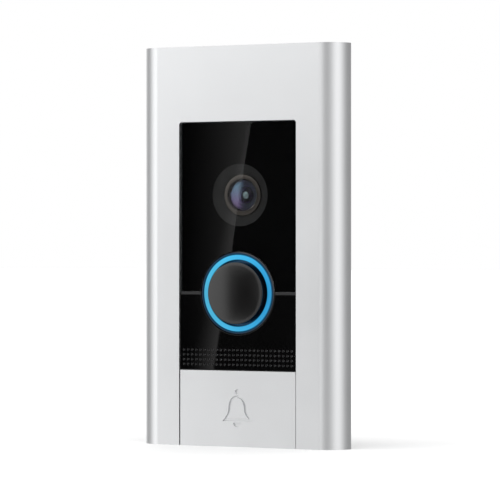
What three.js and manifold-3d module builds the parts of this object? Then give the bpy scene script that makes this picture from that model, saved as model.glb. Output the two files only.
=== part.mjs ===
// A flush-mounted video doorbell: a satin silver faceplate over a housing that sits in a wall box.
// Millimetres, +Z up. The visitor stands on the -Y side, and y = 0 is the wall's surface, which the
// bracket and the faceplate's rim rest on. The origin is the middle of the faceplate in that plane.
import * as THREE from "three";
import { mergeVertices } from "three/addons/utils/BufferGeometryUtils.js";
import Module from "manifold-3d";

const wasm = await Module();
wasm.setup();

// ---- Driving dimensions -------------------------------------------------------------------------

// Faceplate and lower cover
const PLATE_WIDTH = 69.85;
const PLATE_HEIGHT = 121.92;
const PLATE_DEPTH = 7.5;
const PLATE_WALL = 1.6;
const PLATE_SIDE_RADIUS = 7.3;
const WINDOW_WIDTH = 40.3;
const WINDOW_HEIGHT = 75.8;
const WINDOW_CORNER_RADIUS = 0.9;
const COVER_RECESS = 0.2;
const COVER_GAP = 0.15;
const TONGUE_LENGTH = 14;
const TONGUE_REACH = 4;
const TONGUE_ROOT = 6;
const TONGUE_THICKNESS = 1.2;
const TONGUE_RISE = 2;

// Black window: upper glass, lower grille panel and the seam between them
const PANEL_RECESS = 0.4;
const PANEL_THICKNESS = 1.6;
const PANEL_GAP = 0.15;
const SEAM_WIDTH = 0.65;
const SEAM_RECESS = 0.15;
const SEAM_CLEARANCE = 0.05;
const SEAM_END_MARGIN = 0.3;
const GASKET_THICKNESS = 0.4;
const GRILLE_COLUMNS = 27;
const GRILLE_ROWS = 4;
const GRILLE_PITCH_X = 1.43;
const GRILLE_PITCH_Z = 1.47;
const GRILLE_HOLE_DIAMETER = 0.62;
const GRILLE_BOTTOM_MARGIN = 1.7;
const MESH_THICKNESS = 0.25;
const MESH_MARGIN = 0.7;

// Call button
const BUTTON_Z = -14.3;
const BUTTON_RADIUS = 9.4;
const BUTTON_EDGE_RADIUS = 0.45;
const BUTTON_DOME = 0.3;
const BUTTON_PROUD = 1.4;
const BUTTON_TRAVEL = 0.6;
const BUTTON_SKIN = 1.3;
const BUTTON_CLEARANCE = 0.54;
const LIGHT_RING_WIDTH = 1.76;
const LIGHT_RING_HEIGHT = 2.5;
const RING_SLOT_CLEARANCE = 0.05;
const CUP_RIM_WIDTH = 0.8;
const CUP_RIM_PROUD = 0.05;
const CUP_FLANGE_WIDTH = 1.1;
const CUP_FLANGE_THICKNESS = 0.6;
const RING_LED_COUNT = 8;
const RING_LED_SIZE = 1.6;
const RING_LED_HEIGHT = 0.8;
const LED_HOLE_RADIUS = 0.8;
const PLUNGER_RADIUS = 2.6;
const PLUNGER_HEAD_RADIUS = 3.8;
const PLUNGER_HEAD_THICKNESS = 0.6;
const GUIDE_CLEARANCE = 0.2;
const SEAL_WIDTH = 2;
const SEAL_THICKNESS = 0.5;
const SEAL_CLEARANCE = 0.1;
const PIN_RADIUS = 0.6;
const SWITCH_SIZE = 6;
const SWITCH_HEIGHT = 3.4;
const SWITCH_PLUNGER_RADIUS = 1.7;
const SWITCH_PLUNGER_LENGTH = 1.3;
const PLUNGER_REST_GAP = 0.1;
const PRESS_GAP = 0.05;
const RING_BOARD_INSET = 1.4;
const RING_BOARD_MARGIN = 0.5;

// Camera
const CAMERA_Z = 15.5;
const FUNNEL_RADIUS = 9.6;
const FUNNEL_WALL = 0.7;
const FUNNEL_CLEARANCE = 0.1;
const FUNNEL_GAP = 0.05;
const FUNNEL_THROAT_LENGTH = 0.6;
const LENS_CLEARANCE = 0.12;
const LENS_DEPTH = 2.9;
const LENS_TRIM_RADIUS = 6.33;
const LENS_TRIM_HEIGHT = 1.2;
const LENS_TRIM_BEVEL = 0.25;
const FRONT_ELEMENT_RADIUS = 4.5;
const FRONT_ELEMENT_CROWN = 0.6;
const ELEMENT_GAP = 0.3;
const IRIS_RADIUS = 1.45;
const IRIS_SETBACK = 1.4;
const IRIS_THICKNESS = 0.4;
const REAR_SEAT_RADIUS = 3.5;
const REAR_ELEMENT_GAP = 1.2;
const REAR_ELEMENT_THICKNESS = 2.2;
const REAR_ELEMENT_CROWN = 0.4;
const BARREL_RADIUS = 6;
const BARREL_LENGTH = 8;
const HOLDER_BASE = 17;
const HOLDER_HEIGHT = 9.2;
const HOLDER_PROUD = 0.5;
const HOLDER_TUBE_MARGIN = 1.4;
const HOLDER_WALL = 2;
const FILTER_SETBACK = 1.2;
const FILTER_THICKNESS = 0.4;
const FILTER_CLEARANCE = 0.2;
const SENSOR_WIDTH = 9;
const SENSOR_HEIGHT = 7.5;
const SENSOR_THICKNESS = 1;
const CAMERA_BOARD_SIZE = 24;
const CAMERA_PLUG_WIDTH = 12;
const CAMERA_PLUG_HEIGHT = 3;
const CAMERA_PLUG_DROP = 7;
const IR_LED_RADIUS = 2.5;
const IR_LED_OFFSET_X = 14;
const IR_LED_OFFSET_Z = 12;
const IR_LED_SETBACK = 1;
const IR_LED_FOOT = 1;
const IR_LED_FOOT_MARGIN = 0.4;

// Housing behind the window
const HOUSING_WALL = 1.6;
const ISLAND_MARGIN = 1.75;
const ISLAND_TRIM = 0.25;
const ISLAND_CORNER_RADIUS = 2;
const FLANGE_MARGIN_X = 3;
const FLANGE_HEIGHT = 104;
const FLANGE_CORNER_RADIUS = 3;
const BODY_WIDTH = 45.5;
const BODY_HEIGHT = 72;
const BODY_CORNER_RADIUS = 4;
const BODY_WALL = 2;
const BODY_DEPTH = 21.5;
const HOUSING_SEAL_THICKNESS = 0.6;
const HOUSING_SEAL_TRIM = 0.2;
const POST_RADIUS = 2.8;
const POST_INSET = 3.75;
const ROOT = 0.2;

// Boards and what stands on them
const BOARD_THICKNESS = 1.2;
const MAIN_BOARD_THICKNESS = 1.6;
const BOARD_MARGIN = 1.5;
const MAIN_BOARD_BACK_GAP = 5.3;
const SHIELD_SIZE = 20;
const SHIELD_HEIGHT = 2.5;
const SHIELD_Z = 10;
const TRANSFORMER_SIZE = 13;
const TRANSFORMER_HEIGHT = 8.6;
const CAPACITOR_RADIUS = 4;
const CAPACITOR_X = 13;
const SPEAKER_WIDTH = 30;
const SPEAKER_HEIGHT = 11.5;
const SPEAKER_DEPTH = 4;
const SPEAKER_WALL = 1.5;
const SPEAKER_GAP = 1;
const CONE_CLEARANCE = 0.2;
const CONE_SETBACK = 0.8;
const CONE_THICKNESS = 1.2;
const CONE_DISH = 0.7;
const MAGNET_DEPTH = 3.4;
const MICROPHONE_OFFSET_X = 16;
const MICROPHONE_Z = -27;
const MICROPHONE_WIDTH = 4;
const MICROPHONE_HEIGHT = 3;
const MICROPHONE_DEPTH = 1.2;
const MIC_PORT_RADIUS = 0.7;
const MIC_BOOT_WALL = 1.2;
const BOARD_EAR_WIDTH = 5;
const BOARD_EAR_MARGIN = 2;
const ANTENNA_THICKNESS = 0.8;
const ANTENNA_LENGTH = 30;
const ANTENNA_WIDTH = 8;
const ANTENNA_Z = 8;

// Connector tower at the rear
const TOTAL_DEPTH = 55.1;
const TOWER_WALL = 1;
const JACK_WIDTH = 15.9;
const JACK_HEIGHT = 13.5;
const JACK_DEPTH = 21;
const PLUG_WIDTH = 11.9;
const PLUG_HEIGHT = 8.2;
const PLUG_DEPTH = 15;
const CONTACT_HEIGHT = 1.6;
const CONTACT_COUNT = 8;
const CONTACT_PITCH = 1.02;
const CONTACT_WIDTH = 0.5;
const LATCH_HEIGHT = 1.6;
const LATCH_DROP = 0.7;
const HEADER_WIDTH = 12;
const HEADER_HEIGHT = 2.5;
const TERMINAL_HEIGHT = 12;
const TERMINAL_DEPTH = 12;
const TERMINAL_SCREW_RADIUS = 2.3;
const TERMINAL_SCREW_RISE = 2.4;
const TERMINAL_SCREW_HEAD_HEIGHT = 1.6;
const TERMINAL_SCREW_SINK = 1;
const TERMINAL_SHANK_RADIUS = 1.2;
const TERMINAL_SHANK_LENGTH = 3.4;
const WIRE_HOLE_SIZE = 3;
const WIRE_HOLE_DROP = 3.2;
const WELL_DEPTH = 6;
const POCKET_CLEARANCE = 0.1;

// Bracket and fasteners
const BRACKET_HEIGHT = 112;
const BRACKET_THICKNESS = 1.5;
const BRACKET_CLEARANCE = 0.75;
const BOX_SCREW_SPACING = 83.3;
const BOX_SLOT_LENGTH = 8;
const BOX_SCREW_RADIUS = 1.75;
const BOX_SCREW_HEAD_RADIUS = 3.4;
const BOX_SCREW_LENGTH = 16;
const BOX_SCREW_HEAD_HEIGHT = 1.8;
const BOX_HEAD_CLEARANCE = 0.6;
const UNIT_SCREW_SPACING = 98;
const UNIT_SCREW_RADIUS = 1.5;
const UNIT_SCREW_LENGTH = 3.4;
const UNIT_SCREW_HEAD_RADIUS = 2.6;
const UNIT_SCREW_HEAD_HEIGHT = 1.4;
const HOUSING_SCREW_RADIUS = 1.1;
const HOUSING_SCREW_HEAD_RADIUS = 2.1;
const HOUSING_SCREW_END_GAP = 1;
const SECURITY_SCREW_RADIUS = 1.2;
const SECURITY_SCREW_HEAD_RADIUS = 2.1;
const SCREW_CLEARANCE = 0.15;
const LUG_WIDTH = 10;
const LUG_HEIGHT = 4;
const LUG_ROOT = 0.2;

// Setup button, under the faceplate
const SETUP_X = 10;
const SETUP_INSET = 7.5;
const SETUP_RADIUS = 1.5;
const SETUP_HEIGHT = 1.2;
const SETUP_TRAVEL = 0.3;
const SETUP_SWITCH_SIZE = 4;
const SETUP_SWITCH_RECESS = 0.6;
const SETUP_BEVEL = 0.2;

// ---- Planes along Y that follow from the dimensions ---------------------------------------------

const WALL = 0;
const FACE = WALL - PLATE_DEPTH;
const PANEL_FRONT = FACE + PANEL_RECESS;
const PANEL_BACK = PANEL_FRONT + PANEL_THICKNESS;
const GASKET_BACK = PANEL_BACK + GASKET_THICKNESS;
const SKIN_BACK = GASKET_BACK + HOUSING_WALL;
const BRACKET_FRONT = WALL - BRACKET_THICKNESS;
const SEAL_BACK = BRACKET_FRONT + HOUSING_SEAL_THICKNESS;
const BODY_BACK = WALL + BODY_DEPTH;
const BODY_INNER_BACK = BODY_BACK - HOUSING_WALL;
const BUTTON_TOP = FACE - BUTTON_PROUD;
const REAR_END = BUTTON_TOP - BUTTON_DOME + TOTAL_DEPTH;
const CUP_FLOOR_FRONT = PANEL_FRONT + LIGHT_RING_HEIGHT;
const CUP_BACK = SKIN_BACK + CUP_FLANGE_THICKNESS;
const LENS_FRONT = FACE + PANEL_RECESS + LENS_DEPTH;
const BARREL_FRONT = LENS_FRONT + LENS_TRIM_HEIGHT;
const PLUNGER_END = CUP_BACK + PLUNGER_REST_GAP + PLUNGER_HEAD_THICKNESS;
const SWITCH_PLUNGER_FRONT = PLUNGER_END + PRESS_GAP;
const SWITCH_FRONT = SWITCH_PLUNGER_FRONT + BUTTON_TRAVEL + PLUNGER_REST_GAP;
const FRONT_BOARD_FRONT = SWITCH_FRONT + SWITCH_HEIGHT;
const FRONT_BOARD_BACK = FRONT_BOARD_FRONT + BOARD_THICKNESS;
const MAIN_BOARD_BACK = BODY_INNER_BACK - MAIN_BOARD_BACK_GAP;
const MAIN_BOARD_FRONT = MAIN_BOARD_BACK - MAIN_BOARD_THICKNESS;

// ---- Radii and half sizes that follow -----------------------------------------------------------

const SETUP_Z = -FLANGE_HEIGHT / 2 + SETUP_INSET;
const LIGHT_RING_INNER = BUTTON_RADIUS + BUTTON_CLEARANCE;
const LIGHT_RING_OUTER = LIGHT_RING_INNER + LIGHT_RING_WIDTH;
const CUP_INNER = LIGHT_RING_OUTER + RING_SLOT_CLEARANCE;
const CUP_OUTER = CUP_INNER + CUP_RIM_WIDTH;
const CUP_HOLE = CUP_OUTER + PANEL_GAP;
const FUNNEL_HOLE = FUNNEL_RADIUS + FUNNEL_WALL + PANEL_GAP;
const GUIDE_RADIUS = PLUNGER_RADIUS + GUIDE_CLEARANCE;
const LED_CIRCLE = (LIGHT_RING_INNER + LIGHT_RING_OUTER) / 2;
const ISLAND_WIDTH = WINDOW_WIDTH + 2 * ISLAND_MARGIN;
const FLANGE_WIDTH = Math.max(ISLAND_WIDTH, BODY_WIDTH) + 2 * FLANGE_MARGIN_X;
const BODY_INNER_WIDTH = BODY_WIDTH - 2 * BODY_WALL;
const BODY_INNER_HEIGHT = BODY_HEIGHT - 2 * BODY_WALL;
const BODY_INNER_RADIUS = BODY_CORNER_RADIUS - BODY_WALL;
const POST_X = BODY_WIDTH / 2 - POST_INSET;
const POST_Z = BODY_HEIGHT / 2 - POST_INSET;
const BOARD_WIDTH = BODY_INNER_WIDTH - 2 * BOARD_MARGIN;
const BOARD_TOP = POST_Z - POST_RADIUS - BOARD_MARGIN;
const SPEAKER_Z = -BODY_INNER_HEIGHT / 2 + SPEAKER_HEIGHT / 2 + SPEAKER_WALL / 2;
const JACK_POCKET_WIDTH = JACK_WIDTH + 2 * POCKET_CLEARANCE;
const TOWER_WIDTH = JACK_POCKET_WIDTH + 2 * TOWER_WALL;
const JACK_POCKET_HEIGHT = JACK_HEIGHT + 2 * POCKET_CLEARANCE;
const TERMINAL_POCKET_HEIGHT = TERMINAL_HEIGHT + 2 * POCKET_CLEARANCE;
const TOWER_HEIGHT = JACK_POCKET_HEIGHT + TERMINAL_POCKET_HEIGHT + 3 * TOWER_WALL;
const JACK_Z = -TOWER_HEIGHT / 2 + TOWER_WALL + JACK_POCKET_HEIGHT / 2;
const TERMINAL_Z = TOWER_HEIGHT / 2 - TOWER_WALL - TERMINAL_POCKET_HEIGHT / 2;
const IO_BOARD_BACK = REAR_END - JACK_DEPTH;
const IO_BOARD_FRONT = IO_BOARD_BACK - MAIN_BOARD_THICKNESS;
const COVER_TOP = -WINDOW_HEIGHT / 2;
const PLATE_BOTTOM = -PLATE_HEIGHT / 2;
const LUG_Z = -FLANGE_HEIGHT / 2 - LUG_HEIGHT / 2;
const SECURITY_Y = (FACE + PLATE_WALL + BRACKET_FRONT) / 2;
const SECURITY_HEAD_HEIGHT = PLATE_WALL * 0.6;
const SECURITY_SEAT = PLATE_BOTTOM + PLATE_WALL * 0.75;

// ---- Geometry helpers ---------------------------------------------------------------------------

// The closed solid inside a geometry, with triangles that collapse on a lathe's axis left out.
function solidOf(geometry) {
  const bare = geometry.clone();
  bare.deleteAttribute("normal");
  bare.deleteAttribute("uv");
  const merged = mergeVertices(bare, 1e-4);
  const corners = merged.index.array;
  const kept = [];
  for (let i = 0; i < corners.length; i += 3) {
    const [a, b, c] = [corners[i], corners[i + 1], corners[i + 2]];
    if (a !== b && b !== c && c !== a) kept.push(a, b, c);
  }
  const vertProperties = merged.attributes.position.array;
  const triVerts = new Uint32Array(kept);
  return new wasm.Manifold(new wasm.Mesh({ numProp: 3, vertProperties, triVerts }));
}

function geometryOf(solid) {
  const mesh = solid.getMesh();
  const geometry = new THREE.BufferGeometry();
  geometry.setAttribute("position", new THREE.BufferAttribute(mesh.vertProperties, 3));
  geometry.setIndex(new THREE.BufferAttribute(mesh.triVerts, 1));
  geometry.computeVertexNormals();
  return geometry;
}

function join(...geometries) {
  return geometryOf(geometries.map(solidOf).reduce((whole, next) => whole.add(next)));
}

function cut(geometry, ...tools) {
  return geometryOf(tools.map(solidOf).reduce((whole, tool) => whole.subtract(tool), solidOf(geometry)));
}

// A box between two depths, centred on (x, z).
function slab(width, height, front, back, x = 0, z = 0) {
  const depth = back - front;
  return new THREE.BoxGeometry(width, depth, height).translate(x, front + depth / 2, z);
}

// A cylinder along Y between two depths, centred on (x, z).
function rod(radius, front, back, x = 0, z = 0, sides = 20) {
  const depth = back - front;
  return new THREE.CylinderGeometry(radius, radius, depth, sides).translate(x, front + depth / 2, z);
}

// A profile of [radius, y] pairs turned about the Y axis through (x, z). It runs from the axis or
// the bore along the front, back along the outside, and home along the rear.
function turned(profile, x = 0, z = 0, sides = 24) {
  const points = profile.map(([radius, y]) => new THREE.Vector2(radius, y));
  return new THREE.LatheGeometry(points, sides).translate(x, 0, z);
}

// A flat ring or washer about the Y axis.
function ring(inner, outer, front, back, x = 0, z = 0, sides = 24) {
  return turned([[inner, front], [outer, front], [outer, back], [inner, back], [inner, front]], x, z, sides);
}

// An outline drawn in X and Z, extruded between two depths.
function plate(shape, front, back, curveSegments = 4) {
  const options = { depth: back - front, bevelEnabled: false, curveSegments };
  return new THREE.ExtrudeGeometry(shape, options).rotateX(Math.PI / 2).translate(0, back, 0);
}

// A rectangle with rounded corners, centred on (x, z).
function roundedRectangle(width, height, radius, x = 0, z = 0) {
  const [w, h] = [width / 2, height / 2];
  const shape = new THREE.Shape();
  shape.moveTo(x - w + radius, z - h);
  shape.lineTo(x + w - radius, z - h);
  shape.absarc(x + w - radius, z - h + radius, radius, -Math.PI / 2, 0, false);
  shape.lineTo(x + w, z + h - radius);
  shape.absarc(x + w - radius, z + h - radius, radius, 0, Math.PI / 2, false);
  shape.lineTo(x - w + radius, z + h);
  shape.absarc(x - w + radius, z + h - radius, radius, Math.PI / 2, Math.PI, false);
  shape.lineTo(x - w, z - h + radius);
  shape.absarc(x - w + radius, z - h + radius, radius, Math.PI, 1.5 * Math.PI, false);
  return shape;
}

function roundedSlab(width, height, radius, front, back, x = 0, z = 0) {
  return plate(roundedRectangle(width, height, radius, x, z), front, back);
}

// [radius, y] points along an arc, for rounding a turned profile's edge.
function arc(centreRadius, centreY, radius, startAngle, endAngle, steps = 3) {
  const points = [];
  for (let i = 0; i <= steps; i += 1) {
    const angle = startAngle + (endAngle - startAngle) * i / steps;
    points.push([centreRadius + radius * Math.cos(angle), centreY + radius * Math.sin(angle)]);
  }
  return points;
}

// A screw along Y. Its head starts at `front`, faces the visitor and has a six-sided socket. A
// negative direction turns the head to the wall.
function screw(front, headRadius, headHeight, shankRadius, length, direction = 1) {
  const at = (distance) => front + direction * distance;
  const profile = [[0, at(0)], [headRadius, at(0)], [headRadius, at(headHeight)],
    [shankRadius, at(headHeight)], [shankRadius, at(headHeight + length)], [0, at(headHeight + length)]];
  if (direction < 0) profile.reverse();
  const [low, high] = [at(-0.1), at(headHeight * 0.6)].sort((a, b) => a - b);
  return cut(turned(profile, 0, 0, 12), rod(shankRadius * 0.8, low, high, 0, 0, 6));
}

// ---- Materials ----------------------------------------------------------------------------------

function material(color, roughness, metalness) {
  return new THREE.MeshStandardMaterial({ color, roughness, metalness });
}

const satinSilver = material(0xdadbdd, 0.38, 0.85);
const gloss = material(0x0a0a0b, 0.06, 0);
const blackSatin = material(0x1a1a1b, 0.4, 0);
const blackPlastic = material(0x26282a, 0.6, 0);
const ringBlue = material(0x2aa9eb, 0.35, 0);
const lensGlass = material(0x2c3350, 0.04, 0);
const lensTrim = material(0x5a5853, 0.3, 0.7);
const rubber = material(0x1b1c1d, 0.85, 0);
const board = material(0x14532f, 0.55, 0);
const steel = material(0xb4b7ba, 0.3, 1);
const castMagnet = material(0x4b4d50, 0.5, 0.8);
const cream = material(0xe2ded2, 0.5, 0);

const doorbell = new THREE.Group();

function add(name, geometry, itsMaterial, x = 0, y = 0, z = 0) {
  const mesh = new THREE.Mesh(geometry, itsMaterial);
  mesh.name = name;
  mesh.position.set(x, y, z);
  doorbell.add(mesh);
}

// ---- Faceplate, lower cover and security screw --------------------------------------------------

// The plate's horizontal section: flat front, rounded long sides, open to the wall. The inner one
// runs on past the wall's plane.
function plateSection(inset, back) {
  const half = PLATE_WIDTH / 2 - inset;
  const radius = PLATE_SIDE_RADIUS - inset;
  const centre = FACE + inset + radius;
  const shape = new THREE.Shape();
  shape.moveTo(half, back);
  shape.lineTo(-half, back);
  shape.absarc(-half + radius, centre, radius, Math.PI, 1.5 * Math.PI, false);
  shape.absarc(half - radius, centre, radius, 1.5 * Math.PI, 2 * Math.PI, false);
  return shape;
}

function channel(inset, back) {
  const depth = PLATE_HEIGHT - 2 * inset;
  const options = { depth, bevelEnabled: false, curveSegments: 9 };
  const geometry = new THREE.ExtrudeGeometry(plateSection(inset, back), options);
  return geometry.translate(0, 0, -depth / 2);
}

function windowOpening() {
  const shape = new THREE.Shape();
  const half = WINDOW_WIDTH / 2;
  const top = WINDOW_HEIGHT / 2;
  const radius = WINDOW_CORNER_RADIUS;
  const below = PLATE_BOTTOM - 1;
  shape.moveTo(-half, below);
  shape.lineTo(half, below);
  shape.lineTo(half, top - radius);
  shape.absarc(half - radius, top - radius, radius, 0, Math.PI / 2, false);
  shape.lineTo(-half + radius, top);
  shape.absarc(-half + radius, top - radius, radius, Math.PI / 2, Math.PI, false);
  return plate(shape, FACE - 1, WALL + 1, 3);
}

function faceplate() {
  return cut(channel(0, WALL), channel(PLATE_WALL, WALL + 1), windowOpening());
}

const COVER_WIDTH = WINDOW_WIDTH - 2 * COVER_GAP;
const COVER_FRONT = FACE + COVER_RECESS;

function lowerCover() {
  const height = COVER_TOP - PLATE_BOTTOM;
  const z = (COVER_TOP + PLATE_BOTTOM) / 2;
  const front = slab(COVER_WIDTH, height, COVER_FRONT, COVER_FRONT + PLATE_WALL, 0, z);
  const floor = slab(COVER_WIDTH, PLATE_WALL, COVER_FRONT, WALL, 0, PLATE_BOTTOM + PLATE_WALL / 2);
  const tongueFront = FACE + PLATE_WALL + COVER_GAP;
  const tongueZ = PLATE_BOTTOM + PLATE_WALL + TONGUE_LENGTH / 2 + TONGUE_RISE;
  const tongueWidth = TONGUE_REACH + TONGUE_ROOT;
  const tongues = [-1, 1].map((side) => slab(tongueWidth, TONGUE_LENGTH, tongueFront,
    tongueFront + TONGUE_THICKNESS, side * (COVER_WIDTH + TONGUE_REACH - TONGUE_ROOT) / 2, tongueZ));
  const roots = [-1, 1].map((side) => slab(TONGUE_ROOT, TONGUE_LENGTH, COVER_FRONT + PLATE_WALL / 2,
    tongueFront + TONGUE_THICKNESS / 2, side * (COVER_WIDTH - TONGUE_ROOT) / 2, tongueZ));
  const whole = join(front, floor, ...tongues, ...roots);
  const hole = rod(SECURITY_SCREW_RADIUS + SCREW_CLEARANCE, -PLATE_WALL, PLATE_WALL, 0, 0, 20);
  const sink = rod(SECURITY_SCREW_HEAD_RADIUS + SCREW_CLEARANCE, -PLATE_WALL, 0, 0, 0, 20);
  hole.rotateX(Math.PI / 2).translate(0, SECURITY_Y, PLATE_BOTTOM + PLATE_WALL / 2);
  sink.rotateX(Math.PI / 2).translate(0, SECURITY_Y, SECURITY_SEAT);
  return cut(whole, hole, sink);
}

function securityScrew() {
  const length = LUG_Z + LUG_HEIGHT / 2 - SECURITY_SEAT;
  return screw(0, SECURITY_SCREW_HEAD_RADIUS, SECURITY_HEAD_HEIGHT, SECURITY_SCREW_RADIUS, length)
    .rotateX(Math.PI / 2);
}

add("faceplate", faceplate(), satinSilver);
add("lower_cover", lowerCover(), satinSilver);
add("security_screw", securityScrew(), steel, 0, SECURITY_Y, SECURITY_SEAT - SECURITY_HEAD_HEIGHT);

// ---- The black window ---------------------------------------------------------------------------

const PANEL_WIDTH = WINDOW_WIDTH - 2 * PANEL_GAP;
const PANEL_TOP = WINDOW_HEIGHT / 2 - PANEL_GAP;
const PANEL_BOTTOM = COVER_TOP + PANEL_GAP;
const SEAM_HALF = SEAM_WIDTH / 2 + SEAM_CLEARANCE;
const GRILLE_BOTTOM_ROW = PANEL_BOTTOM + GRILLE_BOTTOM_MARGIN;
const GRILLE_Z = GRILLE_BOTTOM_ROW + (GRILLE_ROWS - 1) * GRILLE_PITCH_Z / 2;
const GRILLE_WIDTH = (GRILLE_COLUMNS - 1) * GRILLE_PITCH_X;
const GRILLE_HEIGHT = (GRILLE_ROWS - 1) * GRILLE_PITCH_Z;

// The seam's rib runs from the window's edge to the cup on each side.
function seamCentre() {
  return (PANEL_WIDTH / 2 + CUP_HOLE) / 2;
}

function cupHole(front, back) {
  return rod(CUP_HOLE, front, back, 0, BUTTON_Z, 32);
}

function upperGlass() {
  const bottom = BUTTON_Z + SEAM_HALF;
  const radius = WINDOW_CORNER_RADIUS - PANEL_GAP;
  const shape = new THREE.Shape();
  shape.moveTo(-PANEL_WIDTH / 2, bottom);
  shape.lineTo(PANEL_WIDTH / 2, bottom);
  shape.lineTo(PANEL_WIDTH / 2, PANEL_TOP - radius);
  shape.absarc(PANEL_WIDTH / 2 - radius, PANEL_TOP - radius, radius, 0, Math.PI / 2, false);
  shape.lineTo(-PANEL_WIDTH / 2 + radius, PANEL_TOP);
  shape.absarc(-PANEL_WIDTH / 2 + radius, PANEL_TOP - radius, radius, Math.PI / 2, Math.PI, false);
  return cut(plate(shape, PANEL_FRONT, PANEL_BACK, 3), cupHole(PANEL_FRONT - 1, PANEL_BACK + 1));
}

function hexagon(radius, x, z) {
  const path = new THREE.Path();
  for (let i = 0; i <= 6; i += 1) {
    const angle = -i * Math.PI / 3;
    const [px, pz] = [x + radius * Math.cos(angle), z + radius * Math.sin(angle)];
    if (i === 0) path.moveTo(px, pz);
    else path.lineTo(px, pz);
  }
  return path;
}

function lowerGrille() {
  const top = BUTTON_Z - SEAM_HALF;
  const shape = new THREE.Shape();
  shape.moveTo(-PANEL_WIDTH / 2, PANEL_BOTTOM);
  shape.lineTo(PANEL_WIDTH / 2, PANEL_BOTTOM);
  shape.lineTo(PANEL_WIDTH / 2, top);
  shape.lineTo(-PANEL_WIDTH / 2, top);
  for (let row = 0; row < GRILLE_ROWS; row += 1) {
    for (let column = 0; column < GRILLE_COLUMNS; column += 1) {
      const x = column * GRILLE_PITCH_X - GRILLE_WIDTH / 2;
      shape.holes.push(hexagon(GRILLE_HOLE_DIAMETER / 2, x, GRILLE_BOTTOM_ROW + row * GRILLE_PITCH_Z));
    }
  }
  return cut(plate(shape, PANEL_FRONT, PANEL_BACK), cupHole(PANEL_FRONT - 1, PANEL_BACK + 1));
}

function meshWindow(clearance, front, back) {
  const width = GRILLE_WIDTH + 2 * (MESH_MARGIN + clearance);
  const height = GRILLE_HEIGHT + 2 * (MESH_MARGIN + clearance);
  return slab(width, height, front, back, 0, GRILLE_Z);
}

// The four infrared lamps stand round the camera.
function irLedPlaces() {
  const corners = [[-1, 1], [1, 1], [-1, -1], [1, -1]];
  return corners.map(([right, up]) => [right * IR_LED_OFFSET_X, CAMERA_Z + up * IR_LED_OFFSET_Z]);
}

function irLedHoles(front, back) {
  return irLedPlaces().map(([x, z]) => rod(IR_LED_RADIUS + GUIDE_CLEARANCE, front, back, x, z, 16));
}

// One adhesive sheet bonds both panels to the housing, with a hole for each piece that looks or
// sounds out.
function windowGasket() {
  const height = PANEL_TOP - PANEL_BOTTOM;
  const sheet = slab(PANEL_WIDTH, height, PANEL_BACK, GASKET_BACK, 0, (PANEL_TOP + PANEL_BOTTOM) / 2);
  const [front, back] = [PANEL_BACK - 1, GASKET_BACK + 1];
  const cameraHole = rod(FUNNEL_HOLE, front, back, 0, CAMERA_Z);
  const grilleHole = meshWindow(POCKET_CLEARANCE, front, back);
  const bridge = (PANEL_WIDTH - 2 * CUP_HOLE) / 2 - SEAM_END_MARGIN;
  const slots = [-1, 1].map(
    (side) => slab(bridge, 2 * SEAM_HALF, front, back, side * seamCentre(), BUTTON_Z));
  return cut(sheet, cupHole(front, back), cameraHole, grilleHole, ...slots, ...irLedHoles(front, back));
}

add("upper_glass", upperGlass(), gloss);
add("lower_grille", lowerGrille(), gloss);
add("grille_mesh", meshWindow(0, GASKET_BACK - MESH_THICKNESS, GASKET_BACK), rubber);
add("window_gasket", windowGasket(), rubber);

// ---- Call button and its lit ring ---------------------------------------------------------------

function ringPlaces() {
  return Array.from({ length: RING_LED_COUNT }, (_, i) => {
    const angle = (i + 0.5) * 2 * Math.PI / RING_LED_COUNT;
    return [LED_CIRCLE * Math.cos(angle), BUTTON_Z + LED_CIRCLE * Math.sin(angle)];
  });
}

// A cup holds the light ring in the channel inside its rim. Lamps shine up through holes in its
// floor, and the bore at its centre guides the plunger.
function buttonCup() {
  const flange = CUP_OUTER + CUP_FLANGE_WIDTH;
  const rimFront = PANEL_FRONT - CUP_RIM_PROUD;
  const profile = [[CUP_INNER, rimFront], [CUP_OUTER, rimFront], [CUP_OUTER, SKIN_BACK],
    [flange, SKIN_BACK], [flange, CUP_BACK], [GUIDE_RADIUS, CUP_BACK], [GUIDE_RADIUS, CUP_FLOOR_FRONT],
    [CUP_INNER, CUP_FLOOR_FRONT], [CUP_INNER, rimFront]];
  const [front, back] = [CUP_FLOOR_FRONT - 0.5, CUP_BACK + 0.5];
  const holes = ringPlaces().map(([x, z]) => rod(LED_HOLE_RADIUS, front, back, x, z, 8));
  return cut(turned(profile, 0, BUTTON_Z, 32), ...holes);
}

// The cap is a thin dome with a skirt, open at the rear, and a boss that the plunger is pressed onto.
function buttonCap() {
  const inner = BUTTON_RADIUS - BUTTON_SKIN;
  const skirtBack = CUP_FLOOR_FRONT - BUTTON_TRAVEL - PLUNGER_REST_GAP;
  const domed = (radius) => BUTTON_TOP - BUTTON_DOME * (1 - (radius / BUTTON_RADIUS) ** 2);
  const profile = [0, 0.35, 0.6, 0.8].map((share) => [share * BUTTON_RADIUS, domed(share * BUTTON_RADIUS)]);
  const edge = BUTTON_TOP + BUTTON_EDGE_RADIUS;
  profile.push(...arc(BUTTON_RADIUS - BUTTON_EDGE_RADIUS, edge, BUTTON_EDGE_RADIUS, -Math.PI / 2, 0));
  const ceiling = BUTTON_TOP + BUTTON_SKIN;
  profile.push([BUTTON_RADIUS, skirtBack], [inner, skirtBack], [inner, ceiling], [0, ceiling]);
  return turned(profile, 0, BUTTON_Z, 32);
}

function buttonPlunger() {
  const ceiling = BUTTON_TOP + BUTTON_SKIN;
  const headFront = CUP_BACK + PLUNGER_REST_GAP;
  return turned([[0, ceiling], [PLUNGER_RADIUS, ceiling], [PLUNGER_RADIUS, headFront],
    [PLUNGER_HEAD_RADIUS, headFront], [PLUNGER_HEAD_RADIUS, PLUNGER_END], [0, PLUNGER_END]], 0, BUTTON_Z, 24);
}

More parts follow.
